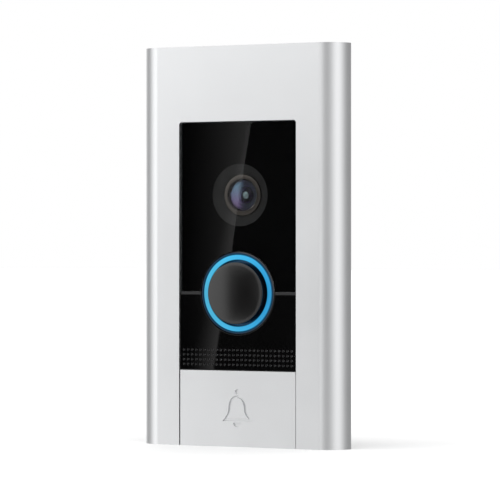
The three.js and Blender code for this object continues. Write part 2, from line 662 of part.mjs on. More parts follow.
// The switch under the plunger, with a pocket for its own plunger, which moves with the button.
const SWITCH_POCKET_BACK = SWITCH_PLUNGER_FRONT + SWITCH_PLUNGER_LENGTH + BUTTON_TRAVEL + PLUNGER_REST_GAP;

function buttonSwitch() {
  const body = slab(SWITCH_SIZE, SWITCH_SIZE, SWITCH_FRONT, FRONT_BOARD_FRONT, 0, BUTTON_Z);
  const pocketRadius = SWITCH_PLUNGER_RADIUS + SCREW_CLEARANCE;
  return cut(body, rod(pocketRadius, SWITCH_FRONT - 1, SWITCH_POCKET_BACK, 0, BUTTON_Z, 16));
}

function switchPlunger() {
  const back = SWITCH_PLUNGER_FRONT + SWITCH_PLUNGER_LENGTH;
  return rod(SWITCH_PLUNGER_RADIUS, SWITCH_PLUNGER_FRONT, back, 0, BUTTON_Z, 16);
}

// A ring-shaped board with one lamp under each hole in the cup. Three pins hold it off the front
// board.
const LED_BOARD_FRONT = CUP_BACK + RING_LED_HEIGHT + PLUNGER_REST_GAP;
const LED_BOARD_BACK = LED_BOARD_FRONT + BOARD_THICKNESS;

function ringLedBoard() {
  const inner = LIGHT_RING_INNER - RING_BOARD_INSET;
  const outer = LIGHT_RING_OUTER + RING_BOARD_MARGIN;
  const sheet = ring(inner, outer, LED_BOARD_FRONT, LED_BOARD_BACK, 0, BUTTON_Z, 32);
  const lampFront = LED_BOARD_FRONT - RING_LED_HEIGHT;
  const lampBack = LED_BOARD_FRONT + ROOT;
  const lamps = ringPlaces().map(
    ([x, z]) => slab(RING_LED_SIZE, RING_LED_SIZE, lampFront, lampBack, x, z));
  const pins = [0, 1, 2].map((i) => {
    const angle = Math.PI / 2 + i * 2 * Math.PI / 3;
    const [x, z] = [LED_CIRCLE * Math.cos(angle), BUTTON_Z + LED_CIRCLE * Math.sin(angle)];
    return rod(PIN_RADIUS, LED_BOARD_BACK - ROOT, FRONT_BOARD_FRONT, x, z, 8);
  });
  return join(sheet, ...lamps, ...pins);
}

function lightRing() {
  const front = PANEL_FRONT + CUP_RIM_PROUD;
  return ring(LIGHT_RING_INNER, LIGHT_RING_OUTER, front, CUP_FLOOR_FRONT, 0, BUTTON_Z, 32);
}

add("button_cup", buttonCup(), blackPlastic);
add("light_ring", lightRing(), ringBlue);
add("button_cap", buttonCap(), blackSatin);
add("button_plunger", buttonPlunger(), blackPlastic);
add("button_seal", ring(PLUNGER_RADIUS + SEAL_CLEARANCE, PLUNGER_RADIUS + SEAL_WIDTH,
  CUP_FLOOR_FRONT - SEAL_THICKNESS, CUP_FLOOR_FRONT, 0, BUTTON_Z, 24), rubber);
add("button_switch", buttonSwitch(), blackPlastic);
add("switch_plunger", switchPlunger(), cream);
add("ring_led_board", ringLedBoard(), board);

// ---- Camera -------------------------------------------------------------------------------------

const FUNNEL_FRONT = PANEL_BACK + FUNNEL_GAP;
const FUNNEL_BACK = BARREL_FRONT - FUNNEL_CLEARANCE;
const HOLDER_FRONT = FRONT_BOARD_FRONT - HOLDER_PROUD;
const HOLDER_BACK = HOLDER_FRONT + HOLDER_HEIGHT;
const HOLDER_TUBE_RADIUS = BARREL_RADIUS + HOLDER_TUBE_MARGIN;
const BARREL_BACK = BARREL_FRONT + BARREL_LENGTH;
const FILTER_FRONT = BARREL_BACK + FILTER_SETBACK;
const SENSOR_FRONT = HOLDER_BACK - SENSOR_THICKNESS;
const CAMERA_BOARD_BACK = HOLDER_BACK + BOARD_THICKNESS;

// The funnel narrows from just behind the glass to the lens trim, and hides the housing round the
// lens.
function cameraFunnel() {
  const throat = LENS_TRIM_RADIUS + FUNNEL_CLEARANCE;
  const outer = FUNNEL_RADIUS + FUNNEL_WALL;
  return turned([[FUNNEL_RADIUS, FUNNEL_FRONT], [outer, FUNNEL_FRONT], [outer, FUNNEL_BACK],
    [throat, FUNNEL_BACK], [throat, FUNNEL_BACK - FUNNEL_THROAT_LENGTH],
    [FUNNEL_RADIUS, FUNNEL_FRONT]], 0, CAMERA_Z, 28);
}

function lensTrimRing() {
  const inner = FRONT_ELEMENT_RADIUS + LENS_CLEARANCE;
  const bevel = LENS_TRIM_BEVEL;
  return turned([[inner, LENS_FRONT + 2 * bevel], [inner + 2 * bevel, LENS_FRONT],
    [LENS_TRIM_RADIUS - bevel, LENS_FRONT], [LENS_TRIM_RADIUS, LENS_FRONT + bevel],
    [LENS_TRIM_RADIUS, BARREL_FRONT], [inner, BARREL_FRONT], [inner, LENS_FRONT + 2 * bevel]],
  0, CAMERA_Z, 28);
}

// The barrel is bored in steps: a seat for the front element, the iris, and a seat for the rear group.
const IRIS_FRONT = BARREL_FRONT + IRIS_SETBACK;
const IRIS_BACK = IRIS_FRONT + IRIS_THICKNESS;

function lensBarrel() {
  const seat = FRONT_ELEMENT_RADIUS + LENS_CLEARANCE;
  return turned([[seat, BARREL_FRONT], [BARREL_RADIUS, BARREL_FRONT], [BARREL_RADIUS, BARREL_BACK],
    [REAR_SEAT_RADIUS, BARREL_BACK], [REAR_SEAT_RADIUS, IRIS_BACK], [IRIS_RADIUS, IRIS_BACK],
    [IRIS_RADIUS, IRIS_FRONT], [seat, IRIS_FRONT], [seat, BARREL_FRONT]], 0, CAMERA_Z, 24);
}

function frontElement() {
  const rim = LENS_FRONT + FRONT_ELEMENT_CROWN;
  const crown = [0, 0.4, 0.7, 1].map(
    (share) => [share * FRONT_ELEMENT_RADIUS, rim - FRONT_ELEMENT_CROWN * (1 - share ** 2)]);
  const back = IRIS_FRONT - ELEMENT_GAP;
  return turned([...crown, [FRONT_ELEMENT_RADIUS, back], [0, back]], 0, CAMERA_Z, 24);
}

function rearElement() {
  const front = IRIS_BACK + REAR_ELEMENT_GAP;
  const back = front + REAR_ELEMENT_THICKNESS;
  const edge = REAR_SEAT_RADIUS - LENS_CLEARANCE;
  return turned([[0, front - REAR_ELEMENT_CROWN], [edge * 0.6, front - REAR_ELEMENT_CROWN / 2],
    [edge, front], [edge, back], [0, back]], 0, CAMERA_Z, 24);
}

function lensHolder() {
  const step = HOLDER_FRONT + HOLDER_HEIGHT / 2;
  const whole = join(rod(HOLDER_TUBE_RADIUS, HOLDER_FRONT, step + ROOT, 0, CAMERA_Z, 28),
    slab(HOLDER_BASE, HOLDER_BASE, step, HOLDER_BACK, 0, CAMERA_Z));
  const room = HOLDER_BASE - 2 * HOLDER_WALL;
  return cut(whole, rod(BARREL_RADIUS + LENS_CLEARANCE, HOLDER_FRONT - 1, HOLDER_BACK + 1, 0, CAMERA_Z, 28),
    slab(room, room, FILTER_FRONT, HOLDER_BACK + 1, 0, CAMERA_Z));
}

const FILTER_SIZE = HOLDER_BASE - 2 * HOLDER_WALL - 2 * FILTER_CLEARANCE;
add("camera_funnel", cameraFunnel(), blackPlastic);
add("lens_trim_ring", lensTrimRing(), lensTrim);
add("lens_front_element", frontElement(), lensGlass);
add("lens_barrel", lensBarrel(), blackPlastic);
add("lens_rear_element", rearElement(), lensGlass);
add("lens_holder", lensHolder(), blackPlastic);
add("ir_cut_filter", slab(FILTER_SIZE, FILTER_SIZE, FILTER_FRONT, FILTER_FRONT + FILTER_THICKNESS,
  0, CAMERA_Z), lensGlass);
add("image_sensor", slab(SENSOR_WIDTH, SENSOR_HEIGHT, SENSOR_FRONT, HOLDER_BACK, 0, CAMERA_Z), blackPlastic);
add("camera_board", slab(CAMERA_BOARD_SIZE, CAMERA_BOARD_SIZE, HOLDER_BACK, CAMERA_BOARD_BACK,
  0, CAMERA_Z), board);
add("camera_connector", slab(CAMERA_PLUG_WIDTH, CAMERA_PLUG_HEIGHT, CAMERA_BOARD_BACK, MAIN_BOARD_FRONT,
  0, CAMERA_Z - CAMERA_PLUG_DROP), cream);

// An infrared lamp: a round-nosed body on a wider foot.
function irLed(x, z) {
  const nose = GASKET_BACK + IR_LED_SETBACK;
  const foot = FRONT_BOARD_FRONT - IR_LED_FOOT;
  const footRadius = IR_LED_RADIUS + IR_LED_FOOT_MARGIN;
  const dome = arc(0, nose + IR_LED_RADIUS, IR_LED_RADIUS, -Math.PI / 2, 0, 3);
  return turned([...dome, [IR_LED_RADIUS, foot], [footRadius, foot],
    [footRadius, FRONT_BOARD_FRONT], [0, FRONT_BOARD_FRONT]], x, z, 12);
}

irLedPlaces().forEach(([x, z], i) => add(`ir_led_${i + 1}`, irLed(x, z), lensGlass));

// ---- Front housing, seal and rear housing -------------------------------------------------------

function postPlaces() {
  return [[-1, 1], [1, 1], [-1, -1], [1, -1]].map(([right, up]) => [right * POST_X, up * POST_Z]);
}

function unitHoles(radius, front, back) {
  return [-1, 1].map((up) => rod(radius, front, back, 0, up * UNIT_SCREW_SPACING / 2, 16));
}

// The front housing is the skin that carries the window, with ears that are screwed to the bracket.
function frontHousing() {
  const islandHeight = WINDOW_HEIGHT + 2 * (ISLAND_MARGIN - ISLAND_TRIM);
  const skin = roundedSlab(ISLAND_WIDTH, islandHeight, ISLAND_CORNER_RADIUS,
    GASKET_BACK, SKIN_BACK + ROOT / 2);
  const flange = roundedSlab(FLANGE_WIDTH, FLANGE_HEIGHT, FLANGE_CORNER_RADIUS, SKIN_BACK, BRACKET_FRONT);
  const seamFront = PANEL_FRONT + SEAM_RECESS;
  const bridge = (PANEL_WIDTH - 2 * CUP_HOLE) / 2 - SEAM_END_MARGIN - 2 * SEAM_CLEARANCE;
  const ribs = [-1, 1].map(
    (side) => slab(bridge, SEAM_WIDTH, seamFront, SKIN_BACK, side * seamCentre(), BUTTON_Z));
  const lugFront = FACE + PLATE_WALL + PANEL_RECESS;
  const lug = slab(LUG_WIDTH, LUG_HEIGHT + LUG_ROOT, lugFront, BRACKET_FRONT, 0, LUG_Z + LUG_ROOT / 2);
  const cavity = roundedSlab(BODY_INNER_WIDTH, BODY_INNER_HEIGHT, BODY_INNER_RADIUS, SKIN_BACK,
    BRACKET_FRONT + 1);
  const posts = postPlaces().map(([x, z]) => rod(POST_RADIUS, SKIN_BACK - ROOT, BRACKET_FRONT, x, z, 20));
  const whole = join(cut(join(skin, flange, lug), cavity), ...ribs, ...posts);
  const [front, back] = [SKIN_BACK - 6, BRACKET_FRONT + 1];
  const boxHoles = [-1, 1].map((up) => rod(BOX_SCREW_HEAD_RADIUS + BOX_HEAD_CLEARANCE, front, back,
    0, up * BOX_SCREW_SPACING / 2, 20));
  const screwHoles = postPlaces().map(
    ([x, z]) => rod(HOUSING_SCREW_RADIUS + SCREW_CLEARANCE, SKIN_BACK, back, x, z, 12));
  const securityHole = rod(SECURITY_SCREW_RADIUS + SCREW_CLEARANCE, -LUG_HEIGHT - 1, LUG_HEIGHT + 1,
    0, 0, 16).rotateX(Math.PI / 2).translate(0, SECURITY_Y, LUG_Z);
  const soundSlot = slab(GRILLE_WIDTH * 0.7, GRILLE_HEIGHT, front, back, 0, GRILLE_Z + 1);
  const micHole = rod(MIC_PORT_RADIUS, front, back, -MICROPHONE_OFFSET_X, MICROPHONE_Z, 12);
  const pocket = SETUP_SWITCH_SIZE + 2 * SCREW_CLEARANCE;
  const setupHole = slab(pocket, pocket, front, back, SETUP_X, SETUP_Z);
  return cut(whole, cupHole(front - 2, back), rod(FUNNEL_HOLE, front, back, 0, CAMERA_Z, 24),
    ...irLedHoles(front, back), ...boxHoles, ...screwHoles,
    ...unitHoles(UNIT_SCREW_RADIUS + SCREW_CLEARANCE, front, back), securityHole, soundSlot, micHole,
    setupHole);
}

// The seal is a flat frame as wide as the tub's wall, a little inside its outline.
function housingSeal() {
  const trim = 2 * HOUSING_SEAL_TRIM;
  const outer = roundedSlab(BODY_WIDTH - trim, BODY_HEIGHT - trim, BODY_CORNER_RADIUS - HOUSING_SEAL_TRIM,
    BRACKET_FRONT, SEAL_BACK);
  const inner = roundedSlab(BODY_INNER_WIDTH, BODY_INNER_HEIGHT, BODY_INNER_RADIUS,
    BRACKET_FRONT - 1, SEAL_BACK + 1);
  return cut(outer, inner);
}

// The rear housing is a tub with a square tower behind it for the network jack and the terminals.
function rearHousing() {
  const tub = roundedSlab(BODY_WIDTH, BODY_HEIGHT, BODY_CORNER_RADIUS, SEAL_BACK, BODY_BACK);
  const tower = roundedSlab(TOWER_WIDTH, TOWER_HEIGHT, 1, BODY_BACK - 1, REAR_END);
  const cavity = roundedSlab(BODY_INNER_WIDTH, BODY_INNER_HEIGHT, BODY_INNER_RADIUS, SEAL_BACK - 1,
    BODY_INNER_BACK);
  const posts = postPlaces().map(([x, z]) => rod(POST_RADIUS, SEAL_BACK, BODY_INNER_BACK + 0.5, x, z, 20));
  const ioRoom = slab(JACK_POCKET_WIDTH, TOWER_HEIGHT - 2 * TOWER_WALL, BODY_INNER_BACK - 1,
    IO_BOARD_BACK + POCKET_CLEARANCE);
  const jackPocket = slab(JACK_POCKET_WIDTH, JACK_POCKET_HEIGHT, IO_BOARD_BACK, REAR_END + 1, 0, JACK_Z);
  const terminalPocket = slab(JACK_POCKET_WIDTH, TERMINAL_POCKET_HEIGHT, IO_BOARD_BACK, REAR_END + 1,
    0, TERMINAL_Z);
  const shanks = postPlaces().map(
    ([x, z]) => rod(HOUSING_SCREW_RADIUS + SCREW_CLEARANCE, SEAL_BACK - 1, BODY_BACK + 1, x, z, 12));
  const headHole = HOUSING_SCREW_HEAD_RADIUS + SCREW_CLEARANCE;
  const heads = postPlaces().map(
    ([x, z]) => rod(headHole, BODY_BACK - HOUSING_WALL, BODY_BACK + 1, x, z, 20));
  const shell = join(cut(join(tub, tower), cavity), ...posts);
  return cut(shell, ioRoom, jackPocket, terminalPocket, ...shanks, ...heads);
}

add("front_housing", frontHousing(), blackPlastic);
add("housing_seal", housingSeal(), rubber);
add("rear_housing", rearHousing(), blackPlastic);

function housingScrew() {
  const length = BODY_BACK - HOUSING_WALL - SKIN_BACK - HOUSING_SCREW_END_GAP;
  return screw(0, HOUSING_SCREW_HEAD_RADIUS, HOUSING_WALL * 0.8, HOUSING_SCREW_RADIUS, length, -1);
}

const housingScrewTop = BODY_BACK - HOUSING_WALL * 0.2;
postPlaces().forEach(([x, z], i) => {
  add(`housing_screw_${i + 1}`, housingScrew(), steel, x, housingScrewTop, z);
});

// ---- Boards and components ----------------------------------------------------------------------

// The front board carries the button's switch, the infrared lamps and the microphone.
function frontBoard() {
  const bottom = BUTTON_Z - LIGHT_RING_OUTER;
  const sheet = slab(BOARD_WIDTH, BOARD_TOP - bottom, FRONT_BOARD_FRONT, FRONT_BOARD_BACK,
    0, (BOARD_TOP + bottom) / 2);
  const earBottom = MICROPHONE_Z - BOARD_EAR_MARGIN;
  const earTop = bottom + BOARD_EAR_MARGIN;
  const ear = slab(BOARD_EAR_WIDTH, earTop - earBottom, FRONT_BOARD_FRONT, FRONT_BOARD_BACK,
    -MICROPHONE_OFFSET_X, (earTop + earBottom) / 2);
  const lensHole = rod(HOLDER_TUBE_RADIUS + HOLDER_PROUD, FRONT_BOARD_FRONT - 1, FRONT_BOARD_BACK + 1,
    0, CAMERA_Z, 28);
  return cut(join(sheet, ear), lensHole);
}

const MAIN_BOARD_HEIGHT = 2 * BOARD_TOP;

// The speaker is a racetrack-shaped basket with a dished cone at its mouth and a magnet on its back.
const SPEAKER_FRONT = FRONT_BOARD_BACK + SPEAKER_GAP;
const SPEAKER_BACK = SPEAKER_FRONT + SPEAKER_DEPTH;

function racetrack(width, height, front, back) {
  return roundedSlab(width, height, height / 2 - 0.1, front, back, 0, SPEAKER_Z);
}

function speakerBasket() {
  const outer = racetrack(SPEAKER_WIDTH, SPEAKER_HEIGHT, SPEAKER_FRONT, SPEAKER_BACK);
  const mouth = racetrack(SPEAKER_WIDTH - 2 * SPEAKER_WALL, SPEAKER_HEIGHT - 2 * SPEAKER_WALL,
    SPEAKER_FRONT - 1, SPEAKER_BACK - 1);
  return cut(outer, mouth);
}

function speakerCone() {
  const height = SPEAKER_HEIGHT - 2 * (SPEAKER_WALL + CONE_CLEARANCE);
  const width = SPEAKER_WIDTH - 2 * (SPEAKER_WALL + CONE_CLEARANCE);
  const front = SPEAKER_FRONT + CONE_SETBACK;
  const whole = racetrack(width, height, front, front + CONE_THICKNESS);
  return cut(whole, racetrack(width * 0.7, height * 0.5, front - 1, front + CONE_DISH));
}

const MICROPHONE_FRONT = FRONT_BOARD_FRONT - MICROPHONE_DEPTH;

function microphoneBoot() {
  return ring(MIC_PORT_RADIUS, MIC_PORT_RADIUS + MIC_BOOT_WALL, SKIN_BACK, MICROPHONE_FRONT,
    -MICROPHONE_OFFSET_X, MICROPHONE_Z, 16);
}

// The board behind the jack and the terminals, with the pin header that plugs into the main board.
function ioBoard() {
  const height = TOWER_HEIGHT - 2 * TOWER_WALL - 2 * POCKET_CLEARANCE;
  const header = slab(HEADER_WIDTH, HEADER_HEIGHT, MAIN_BOARD_BACK, IO_BOARD_FRONT + ROOT, 0, JACK_Z);
  return join(slab(JACK_WIDTH, height, IO_BOARD_FRONT, IO_BOARD_BACK), header);
}

// A comb of eight contacts under the roof of the jack's cavity.
function jackContacts() {
  const roof = JACK_Z + PLUG_HEIGHT / 2 + CONTACT_HEIGHT;
  const [front, back] = [REAR_END - PLUG_DEPTH + 0.5, REAR_END - 4];
  const bar = slab(PLUG_WIDTH - 1, CONTACT_HEIGHT / 2, front, back, 0, roof - CONTACT_HEIGHT / 3);
  const blades = Array.from({ length: CONTACT_COUNT }, (_, i) => {
    const x = (i - (CONTACT_COUNT - 1) / 2) * CONTACT_PITCH;
    return slab(CONTACT_WIDTH, CONTACT_HEIGHT / 2, front + 1, back - 1, x, roof - CONTACT_HEIGHT * 0.6);
  });
  return join(bar, ...blades);
}

function ethernetJack() {
  const shell = slab(JACK_WIDTH, JACK_HEIGHT, IO_BOARD_BACK, REAR_END, 0, JACK_Z);
  const cavityHeight = PLUG_HEIGHT + CONTACT_HEIGHT;
  const [front, back] = [REAR_END - PLUG_DEPTH, REAR_END + 1];
  const cavity = slab(PLUG_WIDTH, cavityHeight, front, back, 0, JACK_Z + CONTACT_HEIGHT / 2);
  const latch = slab(PLUG_WIDTH / 2, LATCH_HEIGHT, front, back, 0, JACK_Z - PLUG_HEIGHT / 2 - LATCH_DROP);
  return cut(shell, cavity, latch);
}

const TERMINAL_PITCH = JACK_WIDTH / 2;

function terminalBlock() {
  const front = REAR_END - TERMINAL_DEPTH;
  const body = slab(JACK_WIDTH, TERMINAL_HEIGHT, front, REAR_END, 0, TERMINAL_Z);
  const floor = REAR_END - WELL_DEPTH;
  const wells = [-1, 1].map((side) => rod(TERMINAL_SCREW_RADIUS + SCREW_CLEARANCE, floor, REAR_END + 1,
    side * TERMINAL_PITCH / 2, TERMINAL_Z + TERMINAL_SCREW_RISE, 16));
  const wires = [-1, 1].map((side) => slab(WIRE_HOLE_SIZE, WIRE_HOLE_SIZE, floor, REAR_END + 1,
    side * TERMINAL_PITCH / 2, TERMINAL_Z - WIRE_HOLE_DROP));
  return cut(body, ...wells, ...wires);
}

add("front_board", frontBoard(), board);
add("main_board", slab(BOARD_WIDTH, MAIN_BOARD_HEIGHT, MAIN_BOARD_FRONT, MAIN_BOARD_BACK), board);
add("processor_shield", roundedSlab(SHIELD_SIZE, SHIELD_SIZE, 1,
  MAIN_BOARD_BACK, MAIN_BOARD_BACK + SHIELD_HEIGHT, 0, SHIELD_Z), steel);
add("poe_transformer", roundedSlab(TRANSFORMER_SIZE, TRANSFORMER_SIZE, 1.5,
  MAIN_BOARD_FRONT - TRANSFORMER_HEIGHT, MAIN_BOARD_FRONT, 0, BUTTON_Z), castMagnet);
add("capacitor", rod(CAPACITOR_RADIUS, MAIN_BOARD_FRONT - TRANSFORMER_HEIGHT, MAIN_BOARD_FRONT,
  CAPACITOR_X, BUTTON_Z, 20), steel);
add("speaker_basket", speakerBasket(), blackPlastic);
add("speaker_cone", speakerCone(), rubber);
add("speaker_magnet", slab(SPEAKER_WIDTH * 0.5, SPEAKER_HEIGHT * 0.6,
  SPEAKER_BACK, SPEAKER_BACK + MAGNET_DEPTH, 0, SPEAKER_Z), castMagnet);
add("microphone", slab(MICROPHONE_WIDTH, MICROPHONE_HEIGHT, MICROPHONE_FRONT, FRONT_BOARD_FRONT,
  -MICROPHONE_OFFSET_X, MICROPHONE_Z), steel);
add("microphone_boot", microphoneBoot(), rubber);
const antennaFront = FRONT_BOARD_BACK + SPEAKER_GAP;
add("wifi_antenna", slab(ANTENNA_THICKNESS, ANTENNA_LENGTH, antennaFront, antennaFront + ANTENNA_WIDTH,
  -BODY_INNER_WIDTH / 2 + ANTENNA_THICKNESS / 2 + POCKET_CLEARANCE, ANTENNA_Z), board);
add("io_board", ioBoard(), board);
add("ethernet_jack", ethernetJack(), steel);
add("jack_contacts", jackContacts(), cream);
add("terminal_block", terminalBlock(), cream);
[-1, 1].forEach((side, i) => {
  const geometry = screw(0, TERMINAL_SCREW_RADIUS, TERMINAL_SCREW_HEAD_HEIGHT,
    TERMINAL_SHANK_RADIUS, TERMINAL_SHANK_LENGTH, -1);
  add(`terminal_screw_${i + 1}`, geometry, steel,
    side * TERMINAL_PITCH / 2, REAR_END - TERMINAL_SCREW_SINK, TERMINAL_Z + TERMINAL_SCREW_RISE);
});

// ---- Bracket, its screws and the setup button ---------------------------------------------------

// The bracket is a flat steel frame on the wall, slotted for the wall box and tapped for the unit.
function bracket() {
  const sheet = roundedSlab(FLANGE_WIDTH, BRACKET_HEIGHT, FLANGE_CORNER_RADIUS, BRACKET_FRONT, WALL);
  const opening = roundedSlab(BODY_WIDTH + 2 * BRACKET_CLEARANCE, BODY_HEIGHT + 2 * BRACKET_CLEARANCE,
    BODY_CORNER_RADIUS, BRACKET_FRONT - 1, WALL + 1);
  const slotWidth = 2 * (BOX_SCREW_RADIUS + SCREW_CLEARANCE);
  const slots = [-1, 1].map((up) => roundedSlab(BOX_SLOT_LENGTH, slotWidth, slotWidth / 2 - 0.05,
    BRACKET_FRONT - 1, WALL + 1, 0, up * BOX_SCREW_SPACING / 2));
  const holes = unitHoles(UNIT_SCREW_RADIUS + SCREW_CLEARANCE, BRACKET_FRONT - 1, WALL + 1);
  return cut(sheet, opening, ...slots, ...holes);
}

add("bracket", bracket(), steel);
[["top", 1], ["bottom", -1]].forEach(([place, up]) => {
  const boxScrew = screw(0, BOX_SCREW_HEAD_RADIUS, BOX_SCREW_HEAD_HEIGHT, BOX_SCREW_RADIUS, BOX_SCREW_LENGTH);
  const unitScrew = screw(0, UNIT_SCREW_HEAD_RADIUS, UNIT_SCREW_HEAD_HEIGHT, UNIT_SCREW_RADIUS,
    UNIT_SCREW_LENGTH);
  add(`box_screw_${place}`, boxScrew, steel, 0, BRACKET_FRONT - BOX_SCREW_HEAD_HEIGHT,
    up * BOX_SCREW_SPACING / 2);
  add(`unit_screw_${place}`, unitScrew, steel, 0, SKIN_BACK - UNIT_SCREW_HEAD_HEIGHT,
    up * UNIT_SCREW_SPACING / 2);
});

const SETUP_SWITCH_FRONT = SKIN_BACK + SETUP_SWITCH_RECESS;
const SETUP_BACK = SETUP_SWITCH_FRONT - SETUP_TRAVEL - PRESS_GAP;

function setupButton() {
  const front = SETUP_BACK - SETUP_HEIGHT;
  return turned([[0, front], [SETUP_RADIUS - SETUP_BEVEL, front], [SETUP_RADIUS, front + SETUP_BEVEL],
    [SETUP_RADIUS, SETUP_BACK], [0, SETUP_BACK]], SETUP_X, SETUP_Z, 16);
}

add("setup_switch", slab(SETUP_SWITCH_SIZE, SETUP_SWITCH_SIZE, SETUP_SWITCH_FRONT, BRACKET_FRONT,
  SETUP_X, SETUP_Z), blackPlastic);
add("setup_button", setupButton(), blackPlastic);

export default doorbell;
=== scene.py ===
import math

import bmesh
import bpy
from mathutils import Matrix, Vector


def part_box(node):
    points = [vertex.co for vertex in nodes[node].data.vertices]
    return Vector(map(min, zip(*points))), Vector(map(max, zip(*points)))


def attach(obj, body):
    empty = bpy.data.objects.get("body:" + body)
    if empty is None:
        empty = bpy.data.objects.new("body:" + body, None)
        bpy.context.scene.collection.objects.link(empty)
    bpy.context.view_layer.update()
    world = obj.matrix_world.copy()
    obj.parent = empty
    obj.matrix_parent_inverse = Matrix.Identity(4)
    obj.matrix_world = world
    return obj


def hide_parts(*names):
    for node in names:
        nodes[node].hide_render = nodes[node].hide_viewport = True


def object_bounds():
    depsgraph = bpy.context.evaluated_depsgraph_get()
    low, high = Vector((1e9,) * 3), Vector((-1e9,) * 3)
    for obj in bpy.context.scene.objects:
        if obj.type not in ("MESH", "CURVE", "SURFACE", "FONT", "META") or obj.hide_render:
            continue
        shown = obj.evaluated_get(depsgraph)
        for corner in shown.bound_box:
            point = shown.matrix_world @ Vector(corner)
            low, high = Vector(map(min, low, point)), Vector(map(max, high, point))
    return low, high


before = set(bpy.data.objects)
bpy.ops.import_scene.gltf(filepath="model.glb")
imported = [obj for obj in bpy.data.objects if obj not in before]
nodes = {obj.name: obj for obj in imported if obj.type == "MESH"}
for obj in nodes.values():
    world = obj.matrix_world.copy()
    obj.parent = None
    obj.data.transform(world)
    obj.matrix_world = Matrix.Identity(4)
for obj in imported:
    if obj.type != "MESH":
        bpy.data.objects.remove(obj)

cad_low, cad_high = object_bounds()
mm = 0.001

# ---- Viewpoint -----------------------------------------------------------------------------------
# A long lens stands level with the middle of the plate and off to the visitor's right. The view is
# centred a little to the right of the plate, and a little below its middle.
view_azimuth = math.radians(28.5)
view_distance = 930 * mm
plate_low, plate_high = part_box("faceplate")
face_y = plate_low.y
face_centre = Vector((0, face_y, 0))
view_back = Vector((math.sin(view_azimuth), -math.cos(view_azimuth), 0))

bpy.ops.object.select_all(action="DESELECT")
bpy.ops.object.camera_add(location=face_centre + view_back * view_distance)
camera = bpy.context.active_object
camera.rotation_mode = "QUATERNION"
camera.rotation_quaternion = (-view_back).to_track_quat("-Z", "Y")
camera.data.lens = 220.8
camera.data.sensor_width = 36
camera.data.shift_x = 0.0262
camera.data.shift_y = -0.008
camera.data.clip_start = 0.05
camera.data.clip_end = 40
bpy.context.scene.camera = camera
bpy.context.scene.view_settings.view_transform = "Standard"


# ---- Studio light --------------------------------------------------------------------------------
# Soft white light from all round: a broad panel to the left with a small lamp above it, a panel to
# the right, one overhead and one behind, with dimmer gaps between. A table lights it from below.
class Value:
    """A shader number that can be added, multiplied and so on, as nodes in its own tree."""

    def __init__(self, tree, socket):
        self.tree = tree
        self.socket = socket

    def _math(self, operation, first, second):
        return add_node(self.tree, "ShaderNodeMath", {"operation": operation}, {0: first, 1: second})

    def __add__(self, other):
        return self._math("ADD", self, other)

    __radd__ = __add__

    def __sub__(self, other):
        return self._math("SUBTRACT", self, other)

    def __rsub__(self, other):
        return self._math("SUBTRACT", other, self)

    def __mul__(self, other):
        return self._math("MULTIPLY", self, other)

    __rmul__ = __mul__

    def __truediv__(self, other):
        return self._math("DIVIDE", self, other)

    def __pow__(self, other):
        return self._math("POWER", self, other)

    def above(self, other):
        return self._math("MAXIMUM", self, other)

    def below(self, other):
        return self._math("MINIMUM", self, other)


def add_node(tree, kind, settings=None, inputs=None, output=0):
    """Adds a node: its settings first, then the values or links of its sockets. Returns one output."""
    node = tree.nodes.new(kind)
    for name, value in (settings or {}).items():
        setattr(node, name, value)
    for name, value in (inputs or {}).items():
        if isinstance(value, Value):
            tree.links.new(value.socket, node.inputs[name])
        elif isinstance(value, tuple) and len(value) == 3 and node.inputs[name].type == "RGBA":
            node.inputs[name].default_value = (*value, 1)
        else:
            node.inputs[name].default_value = value
    return Value(tree, node.outputs[output])


def heading(azimuth, elevation):
    """The direction towards a light: azimuth from straight ahead of the plate, towards its right."""
    a, e = math.radians(azimuth), math.radians(elevation)
    return (math.sin(a) * math.cos(e), -math.cos(a) * math.cos(e), math.sin(e))


world = bpy.data.worlds.new("studio")
bpy.context.scene.world = world
world.use_nodes = True
sky = world.node_tree
sky.nodes.clear()
direction = add_node(sky, "ShaderNodeTexCoord", output="Generated")
brightness = 0.277
light_panels = [
    # azimuth, elevation, brightness, tightness
    (-37, 3, 1.36, 6),
    (-62, 22, 9, 250),
    (68, 8, 1.1, 6),
    (-151.5, 0, 1.2, 5),
    (0, 90, 1.4, 1.5),
]
for azimuth, elevation, strength, tightness in light_panels:
    facing = add_node(sky, "ShaderNodeVectorMath", {"operation": "DOT_PRODUCT"},
                      {0: direction, 1: heading(azimuth, elevation)}, output="Value")
    brightness = facing.above(0) ** tightness * strength + brightness
table_brightness = 0.85
table_starts, table_blend = -0.1, 0.3
up = add_node(sky, "ShaderNodeSeparateXYZ", inputs={0: direction}, output="Z")
downwards = ((table_starts - up) / table_blend).above(0).below(1)
brightness = brightness * (1 - downwards) + downwards * table_brightness
backdrop = add_node(sky, "ShaderNodeLightPath", output="Is Camera Ray")
white = (1, 1, 1)
shine = add_node(sky, "ShaderNodeBackground",
                 inputs={"Color": white, "Strength": brightness * (1 - backdrop) + backdrop})
world_output = sky.nodes.new("ShaderNodeOutputWorld")
sky.links.new(shine.socket, world_output.inputs["Surface"])


def new_material(name):
    """A material and its empty tree."""
    material = bpy.data.materials.new(name)
    material.use_nodes = True
    material.node_tree.nodes.clear()
    return material, material.node_tree


def show(tree, shader):
    """Sends a shader to a material's output."""
    output = tree.nodes.new("ShaderNodeOutputMaterial")
    tree.links.new(shader.socket, output.inputs["Surface"])


def surface(tree, inputs):
    """Sends one Principled surface to a material's output."""
    show(tree, add_node(tree, "ShaderNodeBsdfPrincipled", inputs=inputs))


def select_only(piece):
    bpy.ops.object.select_all(action="DESELECT")
    piece.select_set(True)
    bpy.context.view_layer.objects.active = piece


def apply_place(piece):
    """Puts a piece's place, turn and size into its mesh."""
    select_only(piece)
    bpy.ops.object.transform_apply(location=True, rotation=True, scale=True)


